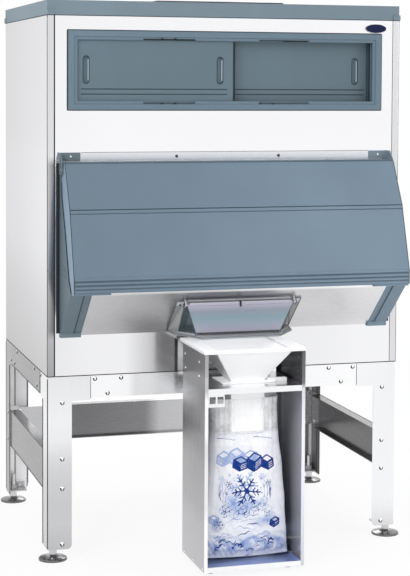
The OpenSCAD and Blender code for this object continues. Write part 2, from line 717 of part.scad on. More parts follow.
module chute_flap() color(clear) at_front() difference() {
    translate([0, rod_at[0], rod_at[1]]) rotate([flap_angle, 0, 0]) {
        rotate([90, 0, 0]) linear_extrude(hood_t)
            polygon([[-flap_top_half, 2], [-flap_low_half, -flap_len], [flap_low_half, -flap_len],
                [flap_top_half, 2]]);
        rod(-flap_top_half + 8, flap_top_half - 8, 0, 0, 6.5);
    }
    rod(-flap_top_half - 1, flap_top_half + 1, rod_at[0], rod_at[1], rod_r + fit);
}

// Leg stand. A leg is a bent angle with an arm at the top of each face.
function side_y(y, back) = back ? cab_d - y : y;
module leg(side, back) color(steel) at_front() on_side(side)
    translate([0, back ? cab_d : 0, 0]) mirror([0, back ? 1 : 0, 0]) difference() {
        union() {
            translate([0, 0, leg_bottom]) linear_extrude(stand_top - leg_bottom) intersection() {
                difference() {
                    round_rect([0, 0], [half_w, cab_d], leg_r);
                    translate([0, leg_t]) square([half_w - leg_t, cab_d]);
                }
                translate([half_w - leg_w, 0]) square([leg_w + 1, leg_w]);
            }
            span([half_w - arm_front, 0, stand_top - arm_h], [half_w - leg_w + 1, leg_t, stand_top]);
            span([half_w - leg_t, leg_w - 1, stand_top - arm_h], [half_w, arm_side, stand_top]);
            span([half_w - leg_w - fillet_r, 0, stand_top - arm_h - fillet_r],
                [half_w - leg_w + 1, leg_t, stand_top]);
        }
        rod_y(half_w - leg_w - fillet_r, stand_top - arm_h - fillet_r, -1, leg_t + 1, fillet_r);
        // Rounded lower corner of the end face
        difference() {
            span([half_w - leg_w - 1, -1, leg_bottom - 1],
                [half_w - leg_w + end_r, leg_t + 1, leg_bottom + end_r]);
            rod_y(half_w - leg_w + end_r, leg_bottom + end_r, -2, leg_t + 2, end_r);
        }
        for (z = bolt_z) rod_y(bolt_x, z, -1, leg_t + 1, bolt_r + 0.2);
        leg_side_holes(back);
    }
module leg_side_holes(back) {
    for (p = back ? side_bolts_back : side_bolts_front)
        rod(half_w - leg_t - 1, half_w + 1, p[0], p[1], bolt_r + 0.2);
}
// Bolts through a leg's side face, as [distance from that leg's end face, height]
side_bolts_front = [[125, stand_top - 12]];
side_bolts_back = [[125, stand_top - 65], [46, low_rail_z + 20], [46, low_rail_z + low_rail_h - 16]];
// Bolts in the rails beyond the arms, as [distance from the corner, height]
bolt_drop = [12, 65];
arm_bolt_y = 125;
rail_bolts_front = [[arm_front + 16, stand_top - bolt_drop[0]], [217.5, stand_top - bolt_drop[1]],
    [266.5, stand_top - bolt_drop[0]]];
rail_bolts_side = [[206, stand_top - 65], [261, stand_top - 12]];
module leg_front_left() leg(-1, false);
module leg_front_right() leg(1, false);
module leg_rear_left() leg(-1, true);
module leg_rear_right() leg(1, true);

// Front and rear top rails, with splice plates behind the leg arms
module end_rail(back) color(steel) at_front()
    translate([0, back ? cab_d : 0, 0]) mirror([0, back ? 1 : 0, 0]) difference() {
        union() {
            x = half_w - arm_front - 0.5;
            along_x([[0, stand_top - rail_h], [25, stand_top - rail_h], [25, stand_top - rail_h + leg_t],
                [leg_t, stand_top - rail_h + leg_t], [leg_t, stand_top - leg_t],
                [38, stand_top - leg_t], [38, stand_top], [0, stand_top]], -x, x);
            for (side = [-1, 1]) on_side(side)
                span([half_w - splice_reach, leg_t, stand_top - rail_h + 4],
                    [half_w - leg_w - 8, 2 * leg_t, stand_top - leg_t]);
        }
        for (side = [-1, 1], p = rail_bolts_front) on_side(side)
            rod_y(half_w - p[0], p[1], -1, 2 * leg_t + 1, bolt_r + 0.2);
    }
module rail_front() end_rail(false);
module rail_rear_top() end_rail(true);

// Upper side rails, with a tab behind each leg's end face
module side_top_rail(side) color(steel) at_front() on_side(side) difference() {
    union() {
        span([half_w - leg_t, arm_side + 0.5, stand_top - rail_h],
            [half_w, cab_d - arm_side - 0.5, stand_top]);
        span([half_w - 34, arm_side + 0.5, stand_top - leg_t], [half_w, cab_d - arm_side - 0.5, stand_top]);
        for (back = [false, true]) translate([0, back ? cab_d : 0, 0]) mirror([0, back ? 1 : 0, 0]) {
            span([half_w - 2 * leg_t, leg_t, stand_top - rail_h + 4],
                [half_w - leg_t, splice_reach, stand_top - leg_t]);
            span([half_w - tab_reach, leg_t, bolt_z[3] - tab_lip],
                [half_w - leg_t, 2 * leg_t, stand_top - tab_lip]);
        }
    }
    for (back = [false, true]) translate([0, back ? cab_d : 0, 0]) mirror([0, back ? 1 : 0, 0]) {
        rod_y(bolt_x, bolt_z[3], -1, 2 * leg_t + 1, bolt_r + 0.2);
        for (p = rail_bolts_side) rod(half_w - 2 * leg_t - 1, half_w + 1, p[0], p[1], bolt_r + 0.2);
        rod(half_w - 2 * leg_t - 1, half_w + 1, arm_bolt_y, stand_top - bolt_drop[back ? 1 : 0],
            bolt_r + 0.2);
    }
}
module rail_side_top_left() side_top_rail(-1);
module rail_side_top_right() side_top_rail(1);

// Lower side rails: a channel inside the legs with a tab behind each end face
module side_low_rail(side) color(steel) at_front() on_side(side) difference() {
    x = half_w - leg_t;
    union() {
        span([x - leg_t, leg_t, low_rail_z], [x, cab_d - 2 * leg_t - 0.5, low_rail_z + low_rail_h]);
        span([x - 38, leg_w + 2, low_rail_z + low_rail_h - leg_t],
            [x, cab_d - leg_w - 2, low_rail_z + low_rail_h]);
        span([x - 25, leg_w + 2, low_rail_z], [x, cab_d - leg_w - 2, low_rail_z + leg_t]);
        span([half_w - tab_reach, leg_t, low_rail_z], [x, 2 * leg_t, low_rail_z + low_rail_h]);
    }
    for (i = [1, 2]) rod_y(bolt_x, bolt_z[i], -1, 2 * leg_t + 1, bolt_r + 0.2);
    for (i = [1, 2])
        rod(x - leg_t - 1, x + 1, cab_d - side_bolts_back[i][0], side_bolts_back[i][1], bolt_r + 0.2);
}
module rail_side_low_left() side_low_rail(-1);
module rail_side_low_right() side_low_rail(1);

// Lower rear rail, a channel that opens to the front
module rail_rear_low() color(steel) at_front() difference() {
    x = half_w - leg_t - leg_t - 1;
    y = cab_d - leg_t;
    union() {
        span([-x, y - leg_t, low_rail_z], [x, y, low_rail_z + low_rail_h]);
        span([-x + 45, y - 38, low_rail_z + low_rail_h - leg_t], [x - 45, y, low_rail_z + low_rail_h]);
        span([-x + 45, y - 25, low_rail_z], [x - 45, y, low_rail_z + leg_t]);
    }
    for (side = [-1, 1], i = [1, 2]) rod_y(side * bolt_x, bolt_z[i], y - leg_t - 1, y + 1, bolt_r + 0.2);
}

// A bolt with a domed head at z = 0 and above, its shank and nut below
module bolt(grip) {
    translate([0, 0, -grip - 4]) cylinder(h = grip + 4, r = bolt_r);
    rotate_extrude() intersection() {
        translate([0, -9]) circle(12);
        square([bolt_head, 4]);
    }
    translate([0, 0, -grip - 4]) cylinder(h = 4, r = 7.5, $fn = 6);
}
module front_bolt(x, z, grip) translate([x, 0, z]) rotate([90, 0, 0]) bolt(grip);
module side_bolt(y, z, grip) translate([half_w, y, z]) rotate([0, 90, 0]) bolt(grip);
module stand_bolts() color("#c4c7ca") at_front() {
    for (side = [-1, 1], back = [false, true]) on_side(side)
        translate([0, back ? cab_d : 0, 0]) mirror([0, back ? 1 : 0, 0]) {
            for (z = bolt_z) front_bolt(bolt_x, z, 2 * leg_t);
            for (p = rail_bolts_front) front_bolt(half_w - p[0], p[1], 2 * leg_t);
            for (p = rail_bolts_side) side_bolt(p[0], p[1], 2 * leg_t);
            for (p = back ? side_bolts_back : side_bolts_front) side_bolt(p[0], p[1], 2 * leg_t);
        }
}

// Threaded plates that take the levelling feet
nut_z = leg_bottom + 5.3;
stud_r = 8;
module foot_nuts() color(dark_steel) at_front()
    for (side = [-1, 1], back = [false, true]) on_side(side)
        translate([0, back ? cab_d : 0, 0]) mirror([0, back ? 1 : 0, 0]) difference() {
            union() {
                span([half_w - tab_reach, leg_t, nut_z], [half_w - leg_t, 62, nut_z + 5]);
                span([half_w - tab_reach, leg_t, nut_z],
                    [half_w - leg_t - 4, 2 * leg_t, bolt_z[0] + tab_lip]);
                translate([foot_x, foot_y, nut_z]) cylinder(h = 20, r = 15, $fn = 6);
            }
            translate([foot_x, foot_y, 0]) cylinder(h = 120, r = stud_r + fit);
            rod_y(bolt_x, bolt_z[0], -1, 2 * leg_t + 1, bolt_r + 0.2);
        }

// Levelling feet: pad, hub and threaded stud in one turned piece
module foot(side, back) color(dark_steel) at_front()
    translate([side * foot_x, back ? foot_back_y : foot_y, 0]) rotate_extrude($fn = 64)
        polygon([[0, 0], [foot_r, 0], [foot_r, 5], [foot_r - 3, 8], [24, 12], [14, 20],
            [14, nut_z - 0.3], [stud_r, nut_z - 0.3], [stud_r, 108], [stud_r - 1.5, 110], [0, 110]]);
module foot_front_left() foot(-1, false);
module foot_front_right() foot(1, false);
module foot_rear_left() foot(-1, true);
module foot_rear_right() foot(1, true);

// Bag filling stand: folded side panels, back, shelf and floor tray
module bagger_side(side) color(steel) at_front() on_side(side) difference() {
    union() {
        span([b_half - b_skin, -bagger_front, glide_h], [b_half, -bagger_gap, bagger_top]);
        span([b_half - b_t, -bagger_front, glide_h], [b_half, -bagger_front + b_skin, bagger_top]);
        span([b_half - b_t, -bagger_gap - b_skin, glide_h], [b_half, -bagger_gap, bagger_top]);
        span([b_half - b_t, -bagger_front, bagger_top - b_skin], [b_half, -bagger_gap, bagger_top]);
        span([b_half - b_t, -bagger_front, tray_z - b_skin], [b_half, -bagger_gap, tray_z]);
        span([b_half - b_t, -bagger_front, shelf_z - shelf_flange],
            [b_half, -bagger_gap, shelf_z - shelf_flange + b_skin]);
        // Inner wall at the tray, which the rivets pass through
        span([b_half - b_t, -bagger_front, glide_h], [b_half - b_t + b_skin, -bagger_gap, tray_z + 14]);
    }
    for (p = b_screws) rod(b_half - b_t - 1, b_half + 1, p[0], bagger_top + p[1], screw_r + 0.1);
    for (y = rivet_y) rod(b_half - b_t - 1, b_half + 1, y, tray_z + 7, screw_r + 0.1);
}
module bagger_side_left() bagger_side(-1);
module bagger_side_right() bagger_side(1);

standoff_z = stand_top - 62;
module bagger_back() color(steel) at_front() {
    x = b_half - b_t;
    span([-x, -bagger_gap - b_skin, tray_z + 16], [x, -bagger_gap, standoff_z + 42]);
    for (side = [-1, 1]) on_side(side) {
        span([x - 60, -bagger_gap, standoff_z], [x - 60 + leg_t, -0.01, standoff_z + 42]);
        span([x - 60, -leg_t - 0.01, standoff_z], [x - 22, -0.01, standoff_z + 42]);
    }
}

module bagger_shelf() color(steel) at_front() difference() {
    x = b_half - b_t - 0.2;
    z = shelf_z - b_skin;
    union() {
        span([-x, -bagger_front, z], [x, -bagger_gap - b_skin - 0.5, shelf_z]);
        span([-x, -bagger_front, shelf_z - shelf_flange], [x, -bagger_front + b_skin, shelf_z]);
        for (side = [-1, 1]) on_side(side)
            span([x - b_skin, -bagger_front, shelf_z - shelf_flange],
                [x, -bagger_gap - b_skin - 0.5, shelf_z]);
    }
    spout_bore(z - 1, shelf_z + 1);
}
// Straight passage that ice falls through, from the funnel to the spout's mouth
module spout_bore(z0, z1) span([-spout_w / 2 + spout_t, spout_y0 + spout_t, z0],
    [spout_w / 2 - spout_t, spout_y0 + spout_d - spout_t, z1]);

module bagger_tray() color(steel) at_front() difference() {
    x = b_half - b_t - 0.01;
    union() {
        span([-x, -bagger_front, tray_z], [x, -bagger_gap - b_skin - 0.5, tray_z + b_skin]);
        span([-x, -bagger_front, glide_h], [x, -bagger_front + b_skin, tray_z + 14]);
        for (side = [-1, 1]) on_side(side)
            span([x - b_skin, -bagger_front, tray_z], [x, -bagger_gap - b_skin - 0.5, tray_z + 14]);
        span([-x, -bagger_gap - 2 * b_skin - 0.5, tray_z], [x, -bagger_gap - b_skin - 0.5, tray_z + 14]);
    }
    for (side = [-1, 1], y = rivet_y) on_side(side) rod(x - 5, x + 1, y, tray_z + 7, screw_r + 0.1);
}
module bagger_glides() color(rubber) at_front()
    for (x = [-1, 1], y = [-bagger_front + 66, -bagger_gap - 50])
        translate([x * (b_half - 40), y, 0]) cylinder(h = tray_z, r = 15);

// Small bracket under the shelf with two square holes, where spare bags hang
module bag_bracket() color(steel) at_front() difference() {
    x0 = -b_half + b_t + 2;
    y0 = -bagger_front + 6;
    z0 = shelf_z - 64;
    hole_h = 24;
    hole_w = 22;
    hole_web = 6;
    bracket_w = 2 * (hole_w + hole_web) + 2;
    union() {
        span([x0, y0, z0], [x0 + bracket_w, y0 + 2, shelf_z - b_skin]);
        span([x0, y0, shelf_z - b_skin - 2], [x0 + bracket_w, y0 + hole_h, shelf_z - b_skin]);
    }
    for (x = [x0 + 4, x0 + 4 + hole_w + hole_web])
        span([x, y0 - 1, z0 + hole_h / 2], [x + hole_w, y0 + 3, z0 + 1.5 * hole_h]);
}

// Funnel: a flat rim on the side panels and four sloping walls to the spout
f_top = 133;
f_front = -bagger_front + 14;
f_rear = -44;
f_low = shelf_z + 4;
f_seat = 98;
latch_x = [72, 142];
latch_y = [-8, 14];
latch_h = 13;
module funnel_body(t, extra) {
    z1 = rim_z0 + rim_t + extra;
    z0 = f_low - extra;
    half_low = spout_w / 2 - spout_t + t;
    intersection() {
        translate([0, 10, 0]) rotate([90, 0, 0]) linear_extrude(420) polygon([
            [-half_low, z0], [half_low, z0],
            [half_low, f_low + 6], [f_top + t, rim_z0 + 2], [f_top + t, z1], [-f_top - t, z1],
            [-f_top - t, rim_z0 + 2], [-half_low, f_low + 6]]);
        along_x([[spout_y0 + spout_t - t, z0], [spout_y0 + spout_d - spout_t + t, z0],
            [spout_y0 + spout_d - spout_t + t, f_low + 6], [f_rear + t, rim_z0 + 2], [f_rear + t, z1],
            [f_front - t, z1], [f_front - t, rim_z0 + 2], [spout_y0 + spout_t - t, f_low + 6]],
            -b_half, b_half);
    }
}
module funnel() color(white) at_front() difference() {
    union() {
        funnel_body(funnel_t, 0);
        span([-b_half - 3, -bagger_front + 2, rim_z0], [b_half + 3, -22, rim_z0 + rim_t]);
        span([-f_seat, spout_y0 - 16, shelf_z], [f_seat, spout_y0 + spout_d + 12, f_low + 1]);
        span([latch_x[0], spout_y0 + latch_y[0], shelf_z],
            [latch_x[1], spout_y0 + latch_y[1], shelf_z + latch_h]);
    }
    funnel_body(0, 1);
    spout_bore(shelf_z - 1, f_low + 10);
}
module spout() color(white) at_front() difference() {
    union() {
        span([-spout_w / 2, spout_y0, spout_top - spout_len], [spout_w / 2, spout_y0 + spout_d, spout_top]);
        span([-spout_w / 2 - 13, spout_y0 - 13, spout_top - 3],
            [spout_w / 2 + 13, spout_y0 + spout_d + 13, spout_top]);
    }
    spout_bore(spout_top - spout_len - 1, spout_top + 1);
}

// Ice bag, hanging open round the spout, as a thin closed-bottomed sleeve
bag_t = 1.5;
bag_top = shelf_z - 55;
bag_low = tray_z + 24;
bag_len = bag_top - bag_low;
bag_side = [[0, 0], [0, 0.178], [9, 0.284], [19, 0.496], [26, 0.808], [38, 1]];
module bag_form(t, top, low) {
    w = bag_w / 2 - t;
    half = [for (i = [0:5]) [w + bag_side[i][0],
        i == 0 ? top : i == 5 ? low : bag_top - bag_side[i][1] * bag_len]];
    intersection() {
        rotate([90, 0, 0]) linear_extrude(420)
            polygon(concat(half, [for (i = [5:-1:0]) [-half[i][0], half[i][1]]]));
        along_x([[spout_y0 - bag_t + t, top], [spout_y0 - bag_t + t, bag_top - 0.254 * bag_len],
            [spout_y0 + 12 + t, low], [spout_y0 + 40 - t, low],
            [spout_y0 + spout_d + bag_t - t, bag_top - 0.254 * bag_len],
            [spout_y0 + spout_d + bag_t - t, top]], -bagger_w / 2, bagger_w / 2);
    }
}
module bag() color(white) at_front() difference() {
    bag_form(0, bag_top, bag_low);
    bag_form(bag_t, bag_top + 1, bag_low + 4);
}

side_panel_left();
side_panel_right();
back_panel();
front_panel_upper();
front_panel_lower();
bottom_pan();
foam_core();
liner();
top_cap();
drop_gasket();
window_frame();
window_door_left();
window_door_right();
badge();
hinge_strip();
panel_screws();
door_cheek_left();
door_cheek_right();
hinge_bracket_left();
hinge_bracket_right();
hinge_pins();
door_shell();
door_foam();
door_liner();
door_gasket();
hinge_bushings();
apron_skin();
apron_core();
chute_throat();
chute_hood();
flap_rod();
chute_flap();
drain_fitting();
leg_front_left();
leg_front_right();
leg_rear_left();
leg_rear_right();
rail_front();
rail_rear_top();
rail_side_top_left();
rail_side_top_right();
rail_side_low_left();
rail_side_low_right();
rail_rear_low();
stand_bolts();
foot_nuts();
foot_front_left();
foot_front_right();
foot_rear_left();
foot_rear_right();
bagger_side_left();
bagger_side_right();
bagger_back();
bagger_shelf();
bagger_tray();
bagger_glides();
bag_bracket();
funnel();
spout();
bag();
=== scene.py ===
import math
import bpy
import numpy as np
from mathutils import Matrix, Vector


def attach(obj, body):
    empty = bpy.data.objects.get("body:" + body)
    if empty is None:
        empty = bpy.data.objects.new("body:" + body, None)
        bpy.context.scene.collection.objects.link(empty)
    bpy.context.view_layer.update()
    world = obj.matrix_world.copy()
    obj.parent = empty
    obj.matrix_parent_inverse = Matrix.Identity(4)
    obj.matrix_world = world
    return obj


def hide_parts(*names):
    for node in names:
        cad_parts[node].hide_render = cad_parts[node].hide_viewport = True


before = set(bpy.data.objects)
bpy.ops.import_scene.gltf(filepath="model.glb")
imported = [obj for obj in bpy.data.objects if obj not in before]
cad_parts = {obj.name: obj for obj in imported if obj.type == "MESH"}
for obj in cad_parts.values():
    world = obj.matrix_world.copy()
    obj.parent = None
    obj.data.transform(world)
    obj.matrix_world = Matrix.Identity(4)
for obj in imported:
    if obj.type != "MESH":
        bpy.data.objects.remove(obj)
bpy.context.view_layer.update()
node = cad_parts


# Studio: a pale floor in a white room, with large soft lamps at the left, at the right,
# low in front, above and behind. The camera has a long lens and stands to the left. Bare
# metal also mirrors a dark cloth at the left, which draws its bends and bolts.
YAW, PITCH, ROLL = 0.28336, -0.05509, 0.0051
CAMERA_PLACE, LENS_MM, LENS_SHIFT = (-1.7169, -5.8909, 1.6944), 101.58, -0.2
forward = Vector((math.sin(YAW) * math.cos(PITCH), math.cos(YAW) * math.cos(PITCH), math.sin(PITCH)))
level = Vector((math.cos(YAW), -math.sin(YAW), 0))
above = level.cross(forward)
right = math.cos(ROLL) * level + math.sin(ROLL) * above
up = math.cos(ROLL) * above - math.sin(ROLL) * level
lens = bpy.data.cameras.new("studio_camera")
lens.lens, lens.shift_y = LENS_MM, LENS_SHIFT
camera = bpy.data.objects.new("studio_camera", lens)
bpy.context.scene.collection.objects.link(camera)
camera.matrix_world = Matrix.Translation(CAMERA_PLACE) @ Matrix((right, up, -forward)).transposed().to_4x4()
bpy.context.scene.camera = camera
bpy.context.scene.view_settings.view_transform = "Standard"
LAMP_AIM = Vector((0, 0, 1.1))


def lamp(name, place, size, power, mirrored=True):
    """A square soft lamp at place, turned towards the middle of the object. One that isn't
    mirrored stays out of reflections, like a lamp behind a screen."""
    light = bpy.data.lights.new(name, "AREA")
    light.shape, light.size, light.energy = "SQUARE", size, power
    lamp_object = bpy.data.objects.new(name, light)
    bpy.context.scene.collection.objects.link(lamp_object)
    lamp_object.location = place
    lamp_object.visible_glossy = mirrored
    lamp_object.rotation_euler = (LAMP_AIM - Vector(place)).to_track_quat("-Z", "Y").to_euler()


lamp("lamp_left", (-4.6, -4.6, 4.2), 3.0, 190)
lamp("lamp_right", (4.8, -4.2, 2.6), 3.0, 85)
lamp("lamp_low", (-0.6, -6.0, 0.9), 2.4, 60, False)
lamp("lamp_top", (0.4, 0.6, 5.2), 3.2, 60)
lamp("lamp_back", (1.5, 5.5, 3.6), 3.0, 100)


def add(tree, kind, **values):
    """A new node of a kind in a node tree, with its settings and inputs by name."""
    new = tree.nodes.new(kind)
    for key, value in values.items():
        if hasattr(new, key):
            setattr(new, key, value)
        else:
            new.inputs[key.replace("_", " ")].default_value = value
    return new


def join(a, b):
    """Joins two sockets of a node tree."""
    b.id_data.links.new(a, b)


def combine(operation, a, b):
    """Two values made one by the named sum, such as MULTIPLY or MAXIMUM."""
    new = add(a.id_data, "ShaderNodeMath", operation=operation)
    join(a, new.inputs[0])
    join(b, new.inputs[1])
    return new.outputs[0]


def seen_and_mirrored(tree):
    """1 for rays from the camera or through something clear, and 1 for mirrored rays."""
    ray = add(tree, "ShaderNodeLightPath").outputs
    seen = combine("MAXIMUM", ray["Is Camera Ray"], ray["Is Transmission Ray"])
    return seen, ray["Is Glossy Ray"]


def mix_shaders(share, a, b):
    """One shader that goes from a to b as share goes from 0 to 1."""
    new = add(share.id_data, "ShaderNodeMixShader")
    for k, socket in enumerate((share, a, b)):
        join(socket, new.inputs[k])
    return new.outputs[0]


CLOTH_SIDE = (-0.96, -0.28, 0)
room = bpy.data.worlds.new("white_room")
bpy.context.scene.world = room
room.use_nodes = True
room.node_tree.nodes.clear()
tree = room.node_tree
seen, mirrored = seen_and_mirrored(tree)
where = add(tree, "ShaderNodeTexCoord")
towards = add(tree, "ShaderNodeVectorMath", operation="DOT_PRODUCT")
towards.inputs[1].default_value = CLOTH_SIDE
join(where.outputs["Generated"], towards.inputs[0])
cloth = add(tree, "ShaderNodeMapRange", From_Min=0.72, From_Max=0.93, To_Min=0.97, To_Max=0.10)
join(towards.outputs["Value"], cloth.inputs["Value"])
shiny = add(tree, "ShaderNodeBackground", Strength=1.0)
join(cloth.outputs[0], shiny.inputs["Color"])
soft = add(tree, "ShaderNodeBackground", Color=(1, 1, 1, 1), Strength=0.60)
white = add(tree, "ShaderNodeBackground", Color=(1, 1, 1, 1), Strength=1.0)
room_light = mix_shaders(mirrored, soft.outputs[0], shiny.outputs[0])
room_light = mix_shaders(seen, room_light, white.outputs[0])
join(room_light, add(tree, "ShaderNodeOutputWorld").inputs[0])

# The floor is pale and matte near the object, and white further out, like the walls
FAR = 40.0
floor_mesh = bpy.data.meshes.new("studio_floor")
floor_mesh.from_pydata([(-FAR, -FAR, 0), (FAR, -FAR, 0), (FAR, FAR, 0), (-FAR, FAR, 0)], [], [(0, 1, 2, 3)])
floor = bpy.data.objects.new("studio_floor", floor_mesh)
bpy.context.scene.collection.objects.link(floor)
pale = bpy.data.materials.new("pale_floor")
pale.use_nodes = True
tree = pale.node_tree
floor_shader = pale.node_tree.nodes["Principled BSDF"]
floor_shader.inputs["Base Color"].default_value = (0.95, 0.95, 0.95, 1)
floor_shader.inputs["Roughness"].default_value = 0.9
where = add(tree, "ShaderNodeTexCoord")
reach = add(tree, "ShaderNodeVectorMath", operation="LENGTH")
join(where.outputs["Object"], reach.inputs[0])
fade = add(tree, "ShaderNodeMapRange", From_Min=0.5, From_Max=1.7, To_Min=0.88, To_Max=1.0)
join(reach.outputs["Value"], fade.inputs["Value"])
glow = add(tree, "ShaderNodeEmission", Color=(1, 1, 1, 1), Strength=1.0)
in_view = combine("MAXIMUM", *seen_and_mirrored(tree))
share = combine("MULTIPLY", fade.outputs[0], in_view)
join(mix_shaders(share, floor_shader.outputs[0], glow.outputs[0]),
     pale.node_tree.nodes["Material Output"].inputs[0])
floor_mesh.materials.append(pale)


# Inner tank and the foam round it. The tank, the door's liner, the drain fitting and the
# hinge bushings are moulded of white polyethylene. The foam in the walls, the door and
# the apron is pale yellow boards, glued in before the skins close over them.
def finish(name):
    """A new material, its Principled shader and its node tree."""
    new = bpy.data.materials.new(name)
    new.use_nodes = True
    return new, new.node_tree.nodes["Principled BSDF"], new.node_tree


def coordinates(tree):
    """The X, Y and Z of the object coordinates, in metres."""
    place, split = add(tree, "ShaderNodeTexCoord"), add(tree, "ShaderNodeSeparateXYZ")
    join(place.outputs["Object"], split.inputs[0])
    return split.outputs


def unsigned(value):
    """The value without its sign."""
    new = add(value.id_data, "ShaderNodeMath", operation="ABSOLUTE")
    join(value, new.inputs[0])
    return new.outputs[0]


def stretched_noise(tree, scale, detail=3.0, rough=0.6):
    """Noise on object coordinates, in waves per metre along each axis."""
    place = add(tree, "ShaderNodeTexCoord")
    mapping = add(tree, "ShaderNodeMapping")
    mapping.inputs["Scale"].default_value = scale
    noise = add(tree, "ShaderNodeTexNoise", Scale=1.0, Detail=detail, Roughness=rough)
    join(place.outputs["Object"], mapping.inputs[0])
    join(mapping.outputs[0], noise.inputs["Vector"])
    return noise.outputs["Fac"]


def remap(value, low, high, start=0.3, end=0.7):
    """The value's span from start to end becomes low to high, held at both ends."""
    new = add(value.id_data, "ShaderNodeMapRange", From_Min=start, From_Max=end, To_Min=low, To_Max=high)
    join(value, new.inputs["Value"])
    return new.outputs[0]


def tint(value, dark, light):
    """A colour from dark to light as value goes from 0 to 1."""
    new = add(value.id_data, "ShaderNodeMix", data_type="RGBA")
    join(value, new.inputs[0])
    for socket, colour in ((6, dark), (7, light)):
        if isinstance(colour, bpy.types.NodeSocket):
            join(colour, new.inputs[socket])
        else:
            new.inputs[socket].default_value = (*colour, 1)
    return new.outputs[2]


def relief(shader, value, depth, strength):
    """Raises the shader's surface by value times depth in metres."""
    new = add(shader.id_data, "ShaderNodeBump", Strength=strength, Distance=depth)
    join(value, new.inputs["Height"])
    join(new.outputs[0], shader.inputs["Normal"])


def dress(material, *names):
    """Gives CAD nodes a material in place of the plain one."""
    for name in names:
        slots = node[name].data.materials
        slots.clear()
        slots.append(material)


# The span in X over which the door's painted shade turns to painted light, and the width in metres over which
# painted light comes in at a piece's ends
SHADE_TO_LIGHT_SPAN, LIT_END_BLEND = (-0.55, 0.25), 0.0008


def moulded(name, colour, rough=0.5, grain=420.0, depth=0.00012, vary=0.06, gloss=0.5, ends=None,
            across=None):
    """Moulded plastic: a fine pebbled skin, with faint broad changes of tone and gloss. ends is
    a distance from the middle in metres and a gain: beyond it the skin is painted paler, as
    painted light on the end faces. across holds the gains of painted shade at the left and of
    painted light at the right, with an even change between them."""
    new, shader, tree = finish(name)
    pebble = stretched_noise(tree, (grain,) * 3, 2.0, 0.5)
    flow = stretched_noise(tree, (3.0, 3.0, 2.0), 3.0, 0.55)
    mottle = remap(flow, 0, 1)
    skins = [tint(mottle, [gain * c * (1 - vary) for c in colour],
                  [min(gain * c * (1 + vary), 1) for c in colour]) for gain in across or (1.0,)]
    skin, x = skins[0], coordinates(tree)["X"]
    # Painted shade at the left turning to painted light at the right
    if across:
        skin = tint(remap(x, 0, 1, *SHADE_TO_LIGHT_SPAN), *skins)
    # Painted light: past the given distance the end faces are painted paler
    if ends:
        reach, gain = ends
        lit_end_share = remap(unsigned(x), 0, 1, reach - LIT_END_BLEND, reach)
        skin = tint(lit_end_share, skin, [c * gain for c in colour])
    join(skin, shader.inputs["Base Color"])
    join(remap(flow, rough - 0.05, rough + 0.05), shader.inputs["Roughness"])
    shader.inputs["Specular IOR Level"].default_value = gloss
    relief(shader, pebble, depth, 0.6)
    return new


dress(moulded("white_tank", (0.84, 0.85, 0.86), 0.38, 300.0, 0.00008, 0.03), "liner", "door_liner",
      "drain_fitting", "hinge_bushings")
dress(moulded("yellow_foam", (0.78, 0.72, 0.50), 0.9, 500.0, 0.0004, 0.08, 0.2), "foam_core",
      "door_foam", "apron_core")


# Steel skins of the cabinet: brushed stainless sheet folded at the corners, with the
# grain upright. The strip over the door, the bottom pan, the apron and the chute's
# throat are of the same sheet with the grain along the cabinet.
def brushed(name, grain, dark, light, rough=(0.18, 0.30), painted_shading=(), metal=1.0):
    """Brushed sheet: fine scratches along the grain axis and faint broad clouding. The fades are
    painted shade, light and reflections: each fade is an axis and stops, each a place in metres
    and a tone or a colour, and the sheet's colour is multiplied by them. Each further part of a
    fade, an axis and two places, lets the fade come in from the first place to the second."""
    new, shader, tree = finish(name)
    scale = [7.0 if axis == grain else 1100.0 for axis in "XYZ"]
    scratches = stretched_noise(tree, scale, 3.0, 0.6)
    clouds = stretched_noise(tree, (1.7, 1.7, 1.2), 2.0, 0.5)
    mixed = add(tree, "ShaderNodeMix", Factor=0.35)
    join(clouds, mixed.inputs[2])
    join(scratches, mixed.inputs[3])
    colour = tint(remap(mixed.outputs[0], 0, 1), dark, light)
    for axis, stops, *within in painted_shading:
        at = coordinates(tree)
        ramp = add(tree, "ShaderNodeValToRGB")
        low, high = stops[0][0], stops[-1][0]
        marks = ramp.color_ramp.elements
        for spot, tone in stops[1:-1]:
            marks.new((spot - low) / (high - low))
        for mark, (spot, tone) in zip(marks, stops):
            mark.color = (*tone, 1) if isinstance(tone, tuple) else (tone, tone, tone * 1.01, 1)
        join(remap(at[axis], 0, 1, low, high), ramp.inputs[0])
        shaded = add(tree, "ShaderNodeMix", data_type="RGBA", blend_type="MULTIPLY")
        shaded.inputs[0].default_value = 1.0
        for k, (where, off, on) in enumerate(within):
            mask = remap(at[where], 0, 1, off, on)
            share = combine("MULTIPLY", share, mask) if k else mask
        if within:
            join(share, shaded.inputs[0])
        join(colour, shaded.inputs[6])
        join(ramp.outputs[0], shaded.inputs[7])
        colour = shaded.outputs[2]
    join(colour, shader.inputs["Base Color"])
    join(remap(scratches, *rough), shader.inputs["Roughness"])
    shader.inputs["Metallic"].default_value = metal
    relief(shader, scratches, 0.00001, 0.4)
    return new


PALE = ((0.84, 0.842, 0.85), (0.915, 0.917, 0.925))
# Painted shade: the upper front darkens a little towards its left
dress(brushed("brushed_upper", "Z", (0.92, 0.921, 0.93), (0.985, 0.986, 0.99), (0.08, 0.16), [
    ("X", [(-0.66, 0.98), (0.0, 1.0), (0.66, 1.0)])]), "front_panel_upper")
# Painted shade and reflection: the lower front darkens in a band left of its middle and at its left end
dress(brushed("brushed_lower", "Z", *PALE, (0.08, 0.16), [
    ("X", [(-0.66, 0.93), (-0.50, 1.0), (-0.38, 1.0), (-0.24, 0.52), (0.0, 0.7), (0.2, 0.97),
           (0.66, 1.04)])]), "front_panel_lower")
